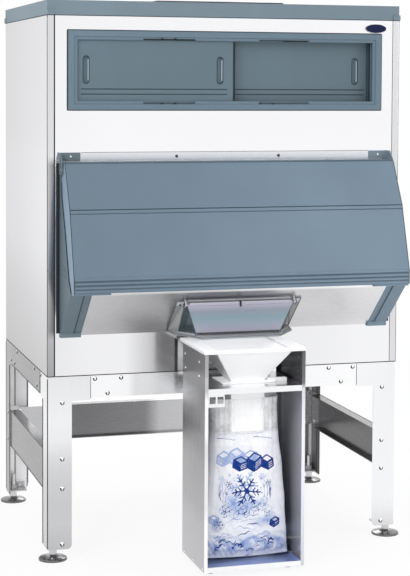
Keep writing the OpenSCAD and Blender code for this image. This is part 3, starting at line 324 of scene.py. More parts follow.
# Painted shade and reflection: the left side darkens towards its back and its foot, and beside the cheek in a
# painted dark reflection of it
dress(brushed("brushed_left", "Z", *PALE, (0.10, 0.18), [
    ("Y", [(-0.30, 0.93), (0.1, 0.83), (0.6, 0.70)]),
    ("Z", [(0.66, 0.49), (0.9, 0.68), (1.1, 0.90), (1.3, 0.94), (1.93, 0.92)]),
    ("X", [(-0.6602, 1.0), (-0.6590, 0.75), (-0.648, 0.52), (-0.6355, 0.22)], ("Z", 1.435, 1.405),
     ("Z", 0.79, 0.82))]), "side_panel_left")
# Painted shade: the right side darkens just behind its front edge
dress(brushed("brushed_right", "Z", (0.70, 0.702, 0.71), (0.79, 0.792, 0.80), (0.12, 0.22), [
    ("Y", [(-0.292, 1.0), (-0.288, 1.0), (-0.284, 0.84), (0.1, 0.80), (0.605, 0.92)])]), "side_panel_right")
# Painted shade: the back darkens towards its foot
dress(brushed("brushed_back", "Z", (0.66, 0.662, 0.67), (0.75, 0.752, 0.76), (0.14, 0.24), [
    ("Z", [(0.66, 0.84), (1.2, 0.95), (1.93, 1.0)])]), "back_panel")
# Painted reflection of the door below: the strip over the door is bluish and darker along its foot
dress(brushed("brushed_strip", "X", *PALE, painted_shading=[
    ("Z", [(1.421, (0.68, 0.72, 0.78)), (1.436, (0.80, 0.82, 0.85)), (1.449, 0.90)])]), "hinge_strip")
dress(brushed("brushed_along", "X", *PALE), "bottom_pan", "chute_throat")
# Painted shade and highlight: the apron darkens behind the hood and to its left, pales to the right, and has
# a painted highlight along its top
dress(brushed("brushed_apron", "X", (0.64, 0.64, 0.64), (0.76, 0.755, 0.75), (0.24, 0.34), [
    ("X", [(-0.55, 0.82), (-0.30, 0.72), (-0.1, 0.72), (0.2, 0.98), (0.5, 1.12)]),
    ("Z", [(0.80, 1.0), (0.962, 1.0), (0.972, 1.35), (1.0, 1.35)])]), "apron_skin")


# Sealant of the cabinet: dark beads round the window frame, and a tape between stand and
# cabinet. The dark beads in the seams of the panels are painted shade in their gaps, the one
# under the lid is painted shade, and those behind the cheeks are the cheeks' painted dark
# reflection in the steel. The folds of the panels and of the strip over the door show as thin
# grey lines of painted shade.
def turned(name, colour, rough, blotch=0.06):
    """Turned or rolled metal with faint blotches that change its roughness and tone."""
    new, shader, tree = finish(name)
    spots = stretched_noise(tree, (90, 90, 90), 3.0, 0.6)
    join(tint(remap(spots, 0, 1), [c * 0.85 for c in colour], colour),
         shader.inputs["Base Color"])
    join(remap(spots, rough - blotch, rough + blotch), shader.inputs["Roughness"])
    shader.inputs["Metallic"].default_value = 1.0
    relief(shader, spots, 0.00004, 0.3)
    return new


def skin_mesh(name, grid, wrap=False, ends=(True, True)):
    """A mesh over a grid of points [row, column, xyz]. Rows run along the piece and columns
    go round it anticlockwise as seen from the last row, so the faces point outwards. wrap
    joins the last row to the first, and ends says which of the two end rows is closed."""
    rows, columns = grid.shape[:2]
    index = np.arange(rows * columns).reshape(rows, columns)
    here, above = (index, np.roll(index, -1, axis=0)) if wrap else (index[:-1], index[1:])
    quads = np.stack([here, np.roll(here, -1, axis=1), np.roll(above, -1, axis=1), above], -1)
    faces = quads.reshape(-1, 4).tolist()
    if ends[0]:
        faces.append(index[0, ::-1].tolist())
    if ends[1]:
        faces.append(index[-1].tolist())
    mesh = bpy.data.meshes.new(name)
    mesh.from_pydata(grid.reshape(-1, 3).tolist(), [], faces)
    mesh.polygons.foreach_set("use_smooth", np.full(len(faces), True))
    piece = bpy.data.objects.new(name, mesh)
    bpy.context.scene.collection.objects.link(piece)
    return piece


SHIFT = (0.0, -0.291, 0.0)


def bead(name, points, wide, high, material, slot, body="bin", side=(0, 1, 0), loop=False, rows=64):
    """A bead that rides on a body, carried along a path through the points, given in mm from
    the cabinet's front: at each of the rows, an ellipse wide along the side direction and
    high across it and the path. The rows are spaced evenly along the path, with more at its
    corners, and loop joins its ends."""
    points = np.array(points, float)
    if loop:
        points = np.vstack([points, points[:1]])
    gone = np.concatenate([[0], np.cumsum(np.linalg.norm(np.diff(points, axis=0), axis=1))])
    even = np.linspace(0, gone[-1], rows + 1)[:rows] if loop else np.linspace(0, gone[-1], rows)
    even = np.unique(np.concatenate([even, gone[:-1] if loop else gone]))
    path = np.stack([np.interp(even, gone, points[:, k]) for k in range(3)], -1)
    run = (np.roll(path, -1, 0) - np.roll(path, 1, 0)) if loop else np.gradient(path, axis=0)
    run /= np.linalg.norm(run, axis=1)[:, None]
    over = np.cross(run, np.array(side, float))
    over /= np.linalg.norm(over, axis=1)[:, None]
    across = np.cross(over, run)
    a = np.linspace(0, 2 * np.pi, 10, endpoint=False)[None, :, None]
    grid = path[:, None] + wide * np.cos(a) * across[:, None] + high * np.sin(a) * over[:, None]
    piece = skin_mesh(name, grid / 1000 + SHIFT, wrap=loop, ends=(not loop, not loop))
    piece.data.materials.append(material)
    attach(piece, body)


def corners_of(half, low, high):
    """The corners of a rectangle from -half to half along X and from low to high across it."""
    return [(-half, low), (half, low), (half, high), (-half, high)]


sealant_and_shade = moulded("dark_sealant_and_painted_shade", (0.018, 0.019, 0.022), 0.6, 300.0, 0.00005, 0.1, 0.2)
fold = turned("fold_shade", (0.20, 0.20, 0.205), 0.3)
HALF, FLANGE, DEEP, LOW, TOP = 660.5, 635.0, 896.0, 661.0, 1930.0
# Painted shade in the seams' gaps and along the folds, and the cheeks' painted dark reflection beside them
for side, x, size in (("left", -1, 2.4), ("right", 1, 1.0)):
    for face, y in (("front", -0.2), ("back", DEEP + 0.2)):
        bead("seam_%s_%s" % (side, face), [(FLANGE * x, y, LOW), (FLANGE * x, y, TOP - 1)], 0.9, size,
             sealant_and_shade, "rubber")
    bead("fold_" + side, [(HALF * x, 0.1, LOW), (HALF * x, 0.1, TOP - 1)], 0.9, 0.6 * size, fold, "steel")
    bead("cheek_reflection_" + side, [(622.9 * x, -1.0, z) for z in (812, 1412)], 1.0, 6.4, sealant_and_shade, "rubber")
# Painted shade under the lid
ring = [(*p, TOP - 1) for p in corners_of(HALF + 0.9, -0.9, DEEP + 0.9)]
bead("lid_shade_line", ring, 1.3, 1.3, sealant_and_shade, "rubber", side=(0, 0, 1), loop=True, rows=200)
ring = [(*p, 658.4) for p in corners_of(HALF - 0.9, 1.0, DEEP - 1.0)]
bead("stand_tape", ring, 2.0, 2.2, sealant_and_shade, "rubber", side=(0, 0, 1), loop=True, rows=200)
# Painted shade along the top edge of the strip over the door
bead("strip_top", [(-540, -3.1, 1449.2), (540, -3.1, 1449.2)], 0.6, 0.8, fold, "steel")
ring = [(x, -0.6, z) for x, z in corners_of(589.5, 1597.5, 1878.5)]
bead("window_seal", ring, 1.2, 2.0, sealant_and_shade, "rubber", loop=True, rows=200)


# Stand: bent legs and rails of 3 mm stainless sheet, brushed and bolted together. Their fades
# are painted shade and reflection: the rails under and behind the cabinet are painted darker
# for its shade, the front legs darken towards the floor, the front rail darkens left of its
# middle, the rear legs have painted shade lines along their bends and edges, and the rear
# right leg and the low right rail carry a painted highlight strip at the tab.
dress(brushed("stand_left", "Z", (0.74, 0.745, 0.755), (0.90, 0.905, 0.915), painted_shading=[
    ("Z", [(0.04, 0.67), (0.13, 0.76), (0.21, 0.77), (0.28, 0.82), (0.35, 0.90), (0.43, 1.08), (0.50, 1.10),
           (0.655, 1.0)])]), "leg_front_left")
dress(brushed("stand_right", "Z", (0.82, 0.825, 0.83), (0.95, 0.955, 0.96), painted_shading=[
    ("Z", [(0.04, 0.80), (0.10, 0.95), (0.15, 1.0), (0.655, 1.0)])]), "leg_front_right")
dress(brushed("stand_far_left", "Z", (0.80, 0.80, 0.805), (0.92, 0.92, 0.925), (0.38, 0.48), [
    ("X", [(-0.6606, 0.5), (-0.6585, 0.5), (-0.657, 1.0), (-0.629, 1.05), (-0.627, 0.3), (-0.623, 0.3),
           (-0.621, 1.0), (-0.579, 1.05), (-0.577, 0.45), (-0.572, 0.45)])], 0.6), "leg_rear_left")
dress(brushed("stand_far_right", "Z", (0.90, 0.90, 0.905), (0.98, 0.98, 0.985), (0.38, 0.48), [
    ("X", [(0.572, 0.6), (0.612, 0.6), (0.620, 0.22), (0.641, 0.26), (0.644, 1.3), (0.6545, 1.3),
           (0.6565, 0.24), (0.6606, 0.24)])], 0.6), "leg_rear_right")
dress(brushed("stand_front", "X", (0.92, 0.925, 0.93), (1.0, 1.0, 1.0), painted_shading=[
    ("X", [(-0.56, 1.0), (-0.37, 1.0), (-0.34, 0.82), (-0.1, 0.98), (0.56, 1.0)])]), "rail_front")
dress(brushed("stand_rear", "X", (0.48, 0.48, 0.485), (0.60, 0.60, 0.605), painted_shading=[
    ("X", [(-0.65, 1.1), (-0.505, 1.05), (-0.49, 0.37), (-0.08, 0.50), (-0.02, 1.0), (0.35, 1.0),
           (0.62, 1.0)])]), "rail_rear_top", "rail_rear_low")
# Painted shade: the side rails take darker copies of the brushed steel
dress(brushed("stand_side", "Y", (0.175, 0.175, 0.18), (0.245, 0.245, 0.25)), "rail_side_low_left")
dress(brushed("stand_side_top", "Y", (0.20, 0.20, 0.205), (0.27, 0.27, 0.275)), "rail_side_top_left")
dress(brushed("stand_side_shaded", "Y", (0.085, 0.085, 0.085), (0.13, 0.13, 0.13)),
      "rail_side_top_right")
# Painted shade, with a painted highlight strip at the tab
dress(brushed("stand_low_shaded", "Y", (0.80, 0.80, 0.80), (0.95, 0.95, 0.95), painted_shading=[
    ("Y", [(-0.25, 0.12), (0.513, 0.12), (0.516, 0.30), (0.605, 0.30)]),
    ("X", [(0.60, 1.0), (0.643, 1.0), (0.645, 3.4), (0.6535, 3.4), (0.6543, 1.0)], ("Y", 0.592, 0.596))]),
      "rail_side_low_right")

# Painted shade: dark lines along the edges of the legs, their arms and the side rails, and
# along the bends of the legs
painted_edge_shade = turned("painted_edge_shade", (0.09, 0.09, 0.095), 0.35)
SIDE, ARM_END, LEG_FOOT, ARM_FOOT, RAIL_FOOT = 660.7, 504.8, 42, 566, 576
for side, x in (("left", -1), ("right", 1)):
    lines = {"flange_back": [(SIDE, 807.8, LEG_FOOT), (SIDE, 807.8, ARM_FOOT)],
             "bend_back": [(660.2, 895.5, 45), (660.2, 895.5, 650)],
             "inner_back": [(572.4, 892.6, 62), (572.4, 892.6, ARM_FOOT)],
             "low_rail_top": [(657.8, 90, 383.2), (657.8, 806, 383.2)],
             "low_rail_foot": [(657.8, 90, 241), (657.8, 806, 241)],
             "flange_front": [(SIDE, 88.2, LEG_FOOT), (SIDE, 88.2, ARM_FOOT)],
             "top_rail_foot": [(SIDE, 141, RAIL_FOOT), (SIDE, 755, RAIL_FOOT)],
             "top_rail_end": [(SIDE, 140.2, RAIL_FOOT), (SIDE, 140.2, 653)]}
    if side == "left":
        lines["bend_front"] = [(660.3, 0.4, 45), (660.3, 0.4, 650)]
    for name, points in lines.items():
        bead("edge_%s_%s" % (name, side), [(u * x, v, w) for u, v, w in points], 0.8 if x > 0 else 1.5, 1.2,
             painted_edge_shade, "stand_steel", side=(1, 0, 0))
    bead("arm_end_" + side, [(ARM_END * x, -0.3, RAIL_FOOT), (ARM_END * x, -0.3, 654)], 0.8, 1.0, painted_edge_shade,
         "stand_steel")
for name, x, y, size in (("front", 656.9, 807.8, 1.6), ("line", 656.6, 832, 1.2)):
    bead("edge_inner_%s_right" % name, [(x, y, LEG_FOOT), (x, y, ARM_FOOT)], size, size, painted_edge_shade,
         "stand_steel")


# Fasteners: domed stainless bolts on the stand, small screws in the strip and the
# brackets, rivets in the filling stand, the hinge pins, the threaded plates that take
# the feet, and the rod that carries the chute's flap.
STRIP_END = 0.40


def domed(name, dark, light, start, end, all_light=None):
    """Polished heads with painted highlight and shade: light where they face straight out or up
    and dark on their flanks and undersides, as 2 |nx ny| - 1.2 nz of the surface's direction n
    goes from start to end, with nz held between -1 and 0. Below the height all_light, and past
    the strip's ends, the painted highlight covers them all over."""
    new, shader, tree = finish(name)
    direction = add(tree, "ShaderNodeSeparateXYZ")
    join(add(tree, "ShaderNodeTexCoord").outputs["Normal"], direction.inputs[0])
    nx, ny, nz = direction.outputs
    total = add(tree, "ShaderNodeMath", operation="MULTIPLY_ADD")
    total.inputs[1].default_value = 2.0
    join(unsigned(combine("MULTIPLY", nx, ny)), total.inputs[0])
    join(remap(nz, 1.2, 0, -1, 0), total.inputs[2])
    share = remap(total.outputs[0], 0, 1, start, end)
    if all_light:
        at = coordinates(tree)
        above = remap(at["Z"], 0, 1, all_light - 0.001, all_light)
        inside = remap(unsigned(at["X"]), 1, 0, STRIP_END, STRIP_END + 0.01)
        for mask in (above, inside):
            share = combine("MULTIPLY", share, mask)
    join(tint(share, light, dark), shader.inputs["Base Color"])
    shader.inputs["Roughness"].default_value = 0.12
    shader.inputs["Metallic"].default_value = 1.0
    return new


# Painted highlight and shade on the bolts' heads
dress(domed("bolt_steel", (0.05, 0.05, 0.055), (0.95, 0.955, 0.96), 0.40, 0.75), "stand_bolts")
SCREW_X, SCREW_Z, SCREW_R = 191.7, 1435.0, 3.8
# Painted shade: a dark arc under each of the strip's two screws
arc = np.radians(np.arange(165, 325, 10))
for side, x in (("left", -SCREW_X), ("right", SCREW_X)):
    under = np.stack([x + SCREW_R * np.cos(arc), -4.4 + 0 * arc, SCREW_Z + SCREW_R * np.sin(arc)], -1)
    bead("screw_shade_" + side, under, 1.6, 2.8, sealant_and_shade, "fasteners", rows=24)
# Painted highlight and shade on the screws' and rivets' heads
dress(domed("screw_steel", (0.02, 0.02, 0.022), (0.95, 0.955, 0.96), -0.25, 0.05, 0.78), "panel_screws")
dress(turned("pin_steel", (0.42, 0.43, 0.44), 0.2), "hinge_pins")
dress(brushed("plate_steel", "X", (0.50, 0.50, 0.51), (0.60, 0.60, 0.61), (0.40, 0.50), metal=0.7),
      "foot_nuts")
dress(turned("rod_steel", (0.62, 0.63, 0.65), 0.2), "flap_rod")


# Levelling feet: round pads of plated steel, each turned in one piece with its threaded
# stud, which screws into the plate at the foot of a leg.
# Painted shade: the pads darken towards the floor
dress(brushed("foot_steel", "X", (0.56, 0.56, 0.57), (0.66, 0.66, 0.67), (0.18, 0.28), [
    ("Z", [(0.0, 0.28), (0.012, 0.34), (0.02, 1.0), (0.1, 1.0)])]), "foot_front_left", "foot_front_right",
      "foot_rear_left", "foot_rear_right")


# Lid, window frame and sliding doors: thick blue-grey plastic, formed over a mould, with
# a fine leathery skin and softened edges. The doors are darker and smoother, and slide
# each in a track of its own.
SAME_POINT, SHARP = 0.00001, math.radians(35)


def soften(width, segments, *names):
    """Rounds the edges of CAD nodes: their triangles are welded where points meet, and edges
    that bend by more than SHARP are bevelled to the given width in metres."""
    for name in names:
        weld = node[name].modifiers.new("weld", "WELD")
        weld.merge_threshold = SAME_POINT
        edge = node[name].modifiers.new("soft_edges", "BEVEL")
        edge.width, edge.segments = width, segments
        edge.limit_method, edge.angle_limit = "ANGLE", SHARP
        edge.use_clamp_overlap = True
        shading = node[name].modifiers.new("even_shading", "WEIGHTED_NORMAL")
        shading.keep_sharp = True


# Painted light: the lid's end faces are painted paler
dress(moulded("lid_plastic", (0.145, 0.194, 0.232), gloss=0.3, ends=(0.6612, 1.42)), "top_cap")
dress(moulded("frame_plastic", (0.111, 0.162, 0.203), gloss=0.3), "window_frame")
dress(moulded("slider_plastic", (0.098, 0.142, 0.172), 0.42, gloss=0.3), "window_door_left",
      "window_door_right")
soften(0.003, 3, "top_cap")
soften(0.0015, 2, "window_frame", "window_door_left", "window_door_right")


def sponge(name, colour):
    """Matte rubber with fine pores."""
    new, shader, tree = finish(name)
    pores = stretched_noise(tree, (700, 700, 700), 4.0, 0.7)
    join(tint(remap(pores, 0, 1), [c * 0.7 for c in colour], colour),
         shader.inputs["Base Color"])
    shader.inputs["Roughness"].default_value = 0.85
    relief(shader, pores, 0.0002, 0.7)
    return new


# The sliding doors' grooves and the rims of their finger pulls, with painted shade in them and
# a painted highlight on each pull's rim, painted shade round the frame's outer edge, dark strips
# as painted shade in the notches of the track, down the doors' meeting ends and down the right
# jamb, and small dark stops in the notches
PULL_Z, PULL_R, PULL_HALF = 1740.0, 11.2, 37.5
groove_shade = moulded("groove_shade", (0.030, 0.048, 0.060), 0.6, gloss=0.2)
# Painted shade round the frame's outer edge
ring = [(x, -7.4, z) for x, z in corners_of(588.6, 1598.6, 1877.4)]
bead("frame_rim", ring, 0.9, 1.1, groove_shade, "grey_plastic", loop=True, rows=200)
rim_light = moulded("rim_light", (0.42, 0.52, 0.58), 0.35, gloss=0.5)
stops_and_gap_shade = sponge("track_stops_and_painted_gap_shade", (0.012, 0.014, 0.018))
# Painted shade in each door's grooves and round its pulls' rims, and a painted highlight on each rim
for label, x0, y, pulls in (("left", -564.4, 7.0, (-521.0, -29.9)), ("right", -22.5, 44.0, (502.0,))):
    door = {"slot": "slider_plastic", "body": "window_" + label}
    for k, z in enumerate((1654, 1672)):
        bead("groove_%s_%d" % (label, k), [(x0 + 26, y + 0.6, z), (x0 + 561, y + 0.6, z)], 0.9, 1.5,
             groove_shade, **door)
    for k, x in enumerate(pulls):
        a = np.linspace(0, 2 * np.pi, 49)[:-1]
        rise = PULL_HALF * np.sign(np.round(np.sin(a), 9)) + PULL_R * np.sin(a)
        rim = np.stack([x + PULL_R * np.cos(a), y - 0.2 + 0 * a, PULL_Z + rise], -1)
        bead("pull_rim_%s_%d" % (label, k), rim, 0.8, 1.3, groove_shade, **door, loop=True, rows=96)
        lit = [(x + 8.2, y + 4, PULL_Z - 38), (x + 8.2, y + 4, PULL_Z + 38)]
        bead("pull_glint_%s_%d" % (label, k), lit, 3.0, 1.9, rim_light, **door)
# Painted shade: dark strips in the track's notches and down the doors' meeting ends
for name, body, points, wide, high in (
        ("notch_shade_left_top", "bin", [(-316, -1, 1848), (-126, -1, 1848)], 4.5, 2.6),
        ("notch_shade_left_low", "bin", [(-316, -5, 1622.6), (-126, -5, 1622.6)], 3.0, 0.9),
        ("notch_shade_right_top", "bin", [(115, -3, 1849), (305, -3, 1849)], 4.0, 1.0),
        ("notch_shade_right_bar", "bin", [(208, -1, 1847.4), (297, -1, 1847.4)], 4.5, 2.4),
        ("notch_shade_right_low", "bin", [(115, -5, 1622.6), (305, -5, 1622.6)], 3.0, 0.9),
        ("meeting_shade_left", "window_left", [(20.2, 7.9, 1623), (20.2, 7.9, 1849)], 1.2, 2.7),
        ("meeting_shade_right", "window_right", [(35.2, 43.4, 1632), (35.2, 43.4, 1840)], 0.6, 2.6)):
    bead(name, points, wide, high, stops_and_gap_shade, "rubber", body)
# Painted shade down the right jamb
bead("jamb_shade", [(552, 34, 1625), (552, 34, 1851)], 6.0, 6.0, groove_shade, "rubber")
for k, (x, z) in enumerate(((-248, 1850.6), (-200, 1850.6), (-248, 1621.5), (-200, 1621.5), (119, 1622),
                            (167, 1621.5))):
    bead("track_stop_%d" % k, [(x - 4, -6.5, z), (x + 4, -6.5, z)], 2.2, 2.6, stops_and_gap_shade, "rubber", rows=8)


# Badge: a bare domed oval of dark blue plastic with a pale raised rim, glued to the
# upper front near its right end.
BADGE_X, BADGE_Z, BADGE_WIDE, BADGE_HIGH = 567.0, 1898.0, 41.2, 16.2
dress(moulded("badge_blue", (0.004, 0.008, 0.045), 0.25, 200.0, 0.00002, gloss=0.2), "badge")
a = np.linspace(0, 2 * np.pi, 97)[:-1]
oval = np.stack([BADGE_X + BADGE_WIDE * np.cos(a), -3.0 + 0 * a, BADGE_Z + BADGE_HIGH * np.sin(a)], -1)
bead("badge_rim", oval, 0.8, 0.8, turned("rim_silver", (0.75, 0.76, 0.78), 0.25), "badge", loop=True, rows=96)


# Lift-up door with its cheeks and hinge brackets: rotationally moulded plastic of a
# bluer grey, hollow and foamed, with a leathery skin and softened edges. The brackets
# are screwed to the front, and the door turns on a pin in each.
# Painted light and shade: the door's ends are painted paler, its skin goes from painted shade at the left to
# painted light at the right, and the right cheek and bracket are painted lighter copies of the left ones
dress(moulded("door_plastic", (0.135, 0.188, 0.240), gloss=0.3, ends=(0.6126, 1.75),
              across=(0.87, 1.12)), "door_shell")
dress(moulded("cheek_plastic", (0.118, 0.160, 0.188), gloss=0.3), "door_cheek_left")
dress(moulded("cheek_right_painted_light", (0.158, 0.218, 0.270), gloss=0.3), "door_cheek_right")
dress(moulded("bracket_plastic", (0.118, 0.158, 0.182), gloss=0.3), "hinge_bracket_left")
dress(moulded("bracket_right_painted_light", (0.180, 0.238, 0.282), gloss=0.3), "hinge_bracket_right")
soften(0.003, 3, "door_shell", "door_cheek_left", "door_cheek_right")
soften(0.0015, 2, "hinge_bracket_left", "hinge_bracket_right")

# Shade in the door's moulded grooves, along its top and its ends, under its ribs, in the
# gap that it closes on, and in the step of each cheek's arm
groove_soft = moulded("groove_soft", (0.085, 0.120, 0.151), 0.6, gloss=0.2)
DOOR_END, GAP_X, ARM_X = 612.4, 615.6, 568.6
FACE = [(-66, 1417), (-74, 1409), (-158.6, 1258.2), (-232.2, 1030), (-233.4, 980)]
GAP = [(-190.5, 979.5), (-157, 1018.8), (-89, 1184), (-48.9, 1263), (-34, 1292.8), (-27, 1345)]
for name, y, z, size in (("crease", -158.2, 1258.3, 1.5), ("crease_two", -162.5, 1244.9, 1.0),
                         ("bend", -231.9, 1030.5, 0.9), ("rib_top", -234.6, 1019.9, 1.0),
                         ("rib_middle", -234.6, 1005.7, 1.0), ("rib_low", -234.6, 991.9, 1.0),
                         ("top", -68.8, 1415.4, 3.0)):
    bead("shade_" + name, [(-611, y, z), (611, y, z)], size, size,
         groove_shade if name == "crease" else groove_soft, "door_plastic", "front_door")
arm = [(-190.2, 966.2), (-13.0, 811.8)]
for side, x in (("left", -1), ("right", 1)):
    bead("door_edge_" + side, [(DOOR_END * x, *p) for p in FACE], 1.2, 1.2, groove_shade, "door_plastic",
         "front_door", (1, 0, 0))
    bead("door_gap_" + side, [(GAP_X * x, *p) for p in GAP], 1.3, 1.4, groove_shade, "door_plastic",
         side=(1, 0, 0))
    bead("arm_step_" + side, [(ARM_X * x, *p) for p in arm], 1.5, 1.0,
         groove_shade if x < 0 else groove_soft, "door_plastic", side=(1, 0, 0))


# Seals: black sponge rubber round the ice drop opening and behind the lift-up door,
# and the rubber glides under the bag filling stand.
dress(sponge("seal_rubber", (0.035, 0.038, 0.042)), "drop_gasket", "door_gasket", "bagger_glides")


# Clear hood and flap over the chute: bent and glued clear sheet. The flap turns on its
# rod, and has a film that looks lilac at its edges and teal in the middle.
def clear_sheet(name, colour, rough, cover):
    """Clear sheet: a thin see-through film of colour that covers the given share of what is
    behind it, with smudges that dull its gloss."""
    new, shader, tree = finish(name)
    smudge = stretched_noise(tree, (14, 14, 14), 4.0, 0.6)
    join(remap(smudge, rough, rough + 0.07), shader.inputs["Roughness"])
    join(tint(remap(smudge, 0, 1), [c * 0.94 for c in colour], colour),
         shader.inputs["Base Color"])
    shader.inputs["IOR"].default_value = 1.45
    shader.inputs["Alpha"].default_value = cover
    return new, shader, tree


def between(share, a, b):
    """A number from a to b as share goes from 0 to 1."""
    new = add(share.id_data, "ShaderNodeMix", data_type="FLOAT")
    join(share, new.inputs[0])
    for socket, value in ((2, a), (3, b)):
        if isinstance(value, bpy.types.NodeSocket):
            join(value, new.inputs[socket])
        else:
            new.inputs[socket].default_value = value
    return new.outputs[0]


# The hood's side walls are clear, with painted shade where they stand in front of the chute,
# and its floor and top flanges are painted paler and less clear, as painted light
hood_film, shader, tree = clear_sheet("clear_hood", (0.3, 0.3, 0.3), 0.04, 0.3)
at = coordinates(tree)
shaded_wall = remap(unsigned(at["X"]), 1, 0, 0.199, 0.203)
for low, high, start, end in ((0, 1, 0.811, 0.815), (1, 0, 0.911, 0.916)):
    shaded_wall = combine("MULTIPLY", shaded_wall, remap(at["Z"], low, high, start, end))
wall_tone = tint(shaded_wall, (0.42, 0.425, 0.43), (0.07, 0.11, 0.13))
wall_cover = remap(shaded_wall, 0.60, 0.25, 0, 1)
for start, end in ((0.814, 0.811), (0.913, 0.917)):
    plate = remap(at["Z"], 0, 1, start, end)
    wall_tone = tint(plate, wall_tone, (0.56, 0.57, 0.60))
    wall_cover = between(plate, wall_cover, 0.90)
join(wall_tone, shader.inputs["Base Color"])
join(wall_cover, shader.inputs["Alpha"])
dress(hood_film, "chute_hood")
FLAP_LOW, FLAP_HIGH = 0.816, 0.92
flap_film, shader, tree = clear_sheet("flap_film", (0.3, 0.4, 0.45), 0.06, 0.9)
ramp = add(tree, "ShaderNodeValToRGB")
marks = ramp.color_ramp.elements
for spot in (0.22, 0.5, 0.75):
    marks.new(spot)
for mark, colour in zip(marks, ((0.42, 0.40, 0.48), (0.32, 0.35, 0.43), (0.22, 0.32, 0.36),
                                (0.26, 0.28, 0.34), (0.44, 0.42, 0.51))):
    mark.color = (*colour, 1)
join(remap(coordinates(tree)["Z"], 0, 1, FLAP_LOW, FLAP_HIGH), ramp.inputs[0])
join(ramp.outputs[0], shader.inputs["Base Color"])
dress(flap_film, "chute_flap")

# Cut edges of the clear sheet, painted dark as they look from the side, a painted highlight
# along the front of the hood's floor and along the flap's barrel, and the small dark spring
# clip that holds the middle of its rod
edge_dark = moulded("sheet_edge", (0.07, 0.09, 0.10), 0.25, 200.0, 0.00002)
edge_lit = moulded("painted_sheet_highlight", (0.50, 0.54, 0.57), 0.2, 200.0, 0.00002)
wall = [(203.2, -150.2, 931.9), (230.0, -11.2, 809.9), (156.2, -131.6, 803.8), (160.0, -134.6, 816.1),
        (189.6, -157.5, 911.3)]
sill = [(229, -11, 811.4), (217, -88, 807.5), (143, -176, 803.2)]
SLANT = (0.3, 0.5, 0.8)
for side, x in (("left", -1), ("right", 1)):
    edges = {"wall": [(u * x, v, w) for u, v, w in wall + wall[:1]],
             "flange": [(229.6 * x, -9.5, 807.6), (229.6 * x, -153, 931.4), (190 * x, -153, 931.4)],
             "ear": [(206 * x, -141.2, 925.4), (206 * x, -155.6, 908.8), (206 * x, -170, 921.2),
                     (206 * x, -155.5, 937.9)]}
    for name, points in edges.items():
        bead("hood_%s_%s" % (name, side), points, 1.4, 1.4, edge_dark, "clear_plastic", side=SLANT)
    flap_side = [(195.5 * x, -162.0, 914.0), (156.5 * x, -137.6, 817)]
    bead("flap_side_" + side, flap_side, 0.9, 0.9, edge_dark, "clear_plastic", "flap", SLANT)
path = sill + [(-u, v, w) for u, v, w in sill[::-1]]
bead("sill_top", path, 1.2, 1.2, edge_dark, "clear_plastic", side=(0, 0, 1))
bead("sill_low", [(u, v, w - 3.4) for u, v, w in path], 1.0, 1.0, edge_dark, "clear_plastic", side=(0, 0, 1))
bead("sill_front", [(u, v - 0.3, w - 1.7) for u, v, w in path[2:4]], 0.7, 1.1, edge_lit, "clear_plastic")
for name, half, y, z, wide, high, tone in (("flap_foot", 155, -137.8, 816.4, 0.9, 0.9, edge_dark),
                                           ("barrel_glint", 186, -164.4, 924.6, 1.2, 1.8, edge_lit)):
    bead(name, [(-half, y, z), (half, y, z)], wide, high, tone, "clear_plastic", "flap")
clip = [(-2, -168.4, 909), (-2, -169.4, 915), (-2, -168.2, 925), (-2, -164.6, 929.4)]
bead("rod_clip", clip, 1.6, 3.4, sealant_and_shade, "fasteners", "flap", (0, 1, 0.2), rows=24)


# Bag filling stand: two folded stainless side panels, a back, a shelf, a tray and a small
# bracket, riveted together. The side panels carry painted reflections of the dark underside of
# the cabinet near their tops and of the floor lower down, with a painted highlight along the
# left panel's front edge, and the right panel darkens towards the back in painted shade.
dress(brushed("filler_left", "Z", (0.62, 0.62, 0.63), (0.74, 0.74, 0.75), (0.22, 0.34), [
    ("Z", [(0.02, 0.76), (0.17, 0.73), (0.24, 0.60), (0.38, 0.60), (0.45, 0.53), (0.50, 0.70), (0.54, 1.12),
           (0.58, 1.12), (0.62, 0.63), (0.65, 0.38), (0.69, 0.40), (0.70, 0.32), (0.77, 0.29)]),
    ("Y", [(-0.632, 2.2), (-0.6295, 2.2), (-0.6285, 1.0), (-0.38, 1.0)])]), "bagger_side_left")
dress(brushed("filler_right", "Z", (0.74, 0.75, 0.80), (0.88, 0.89, 0.95), (0.14, 0.24), [
    ("Z", [(0.02, 0.75), (0.3, 0.95), (0.5, 1.0), (0.64, 0.8), (0.66, 0.2), (0.77, 0.14)]),
    ("Y", [(-0.631, 1.0), (-0.60, 1.0), (-0.50, 0.62), (-0.40, 0.30)])], 0.55), "bagger_side_right")
dress(brushed("filler_back", "Z", (0.74, 0.745, 0.75), (0.86, 0.865, 0.87)), "bagger_back")
dress(brushed("filler_across", "X", (0.89, 0.90, 0.915), (0.95, 0.96, 0.975)), "bagger_shelf", "bag_bracket")
# Painted reflection: the tray's inside is painted bluish, as the bag mirrored in it, behind its pale front
# lip
dress(brushed("filler_tray", "X", (0.78, 0.79, 0.80), (0.90, 0.91, 0.92), painted_shading=[
    ("Y", [(-0.631, 1.0), (-0.628, 1.0), (-0.622, (0.62, 0.70, 1.0)), (-0.58, (0.36, 0.46, 0.80)),
           (-0.40, (0.30, 0.38, 0.66))])], metal=0.35), "bagger_tray")


# Funnel and spout: white formed plastic, smooth, slightly glossy, with softened edges.
# The funnel glows a little where it faces up, as painted light that lifts the shade inside it.
dress(moulded("spout_white", (0.90, 0.902, 0.912), 0.32, 260.0, 0.00006, 0.015), "spout")
GLOW = 0.36
glowing_funnel = moulded("funnel_white", (0.83, 0.835, 0.845), 0.32, 260.0, 0.00006, 0.015)
tree = glowing_funnel.node_tree
shader = glowing_funnel.node_tree.nodes["Principled BSDF"]
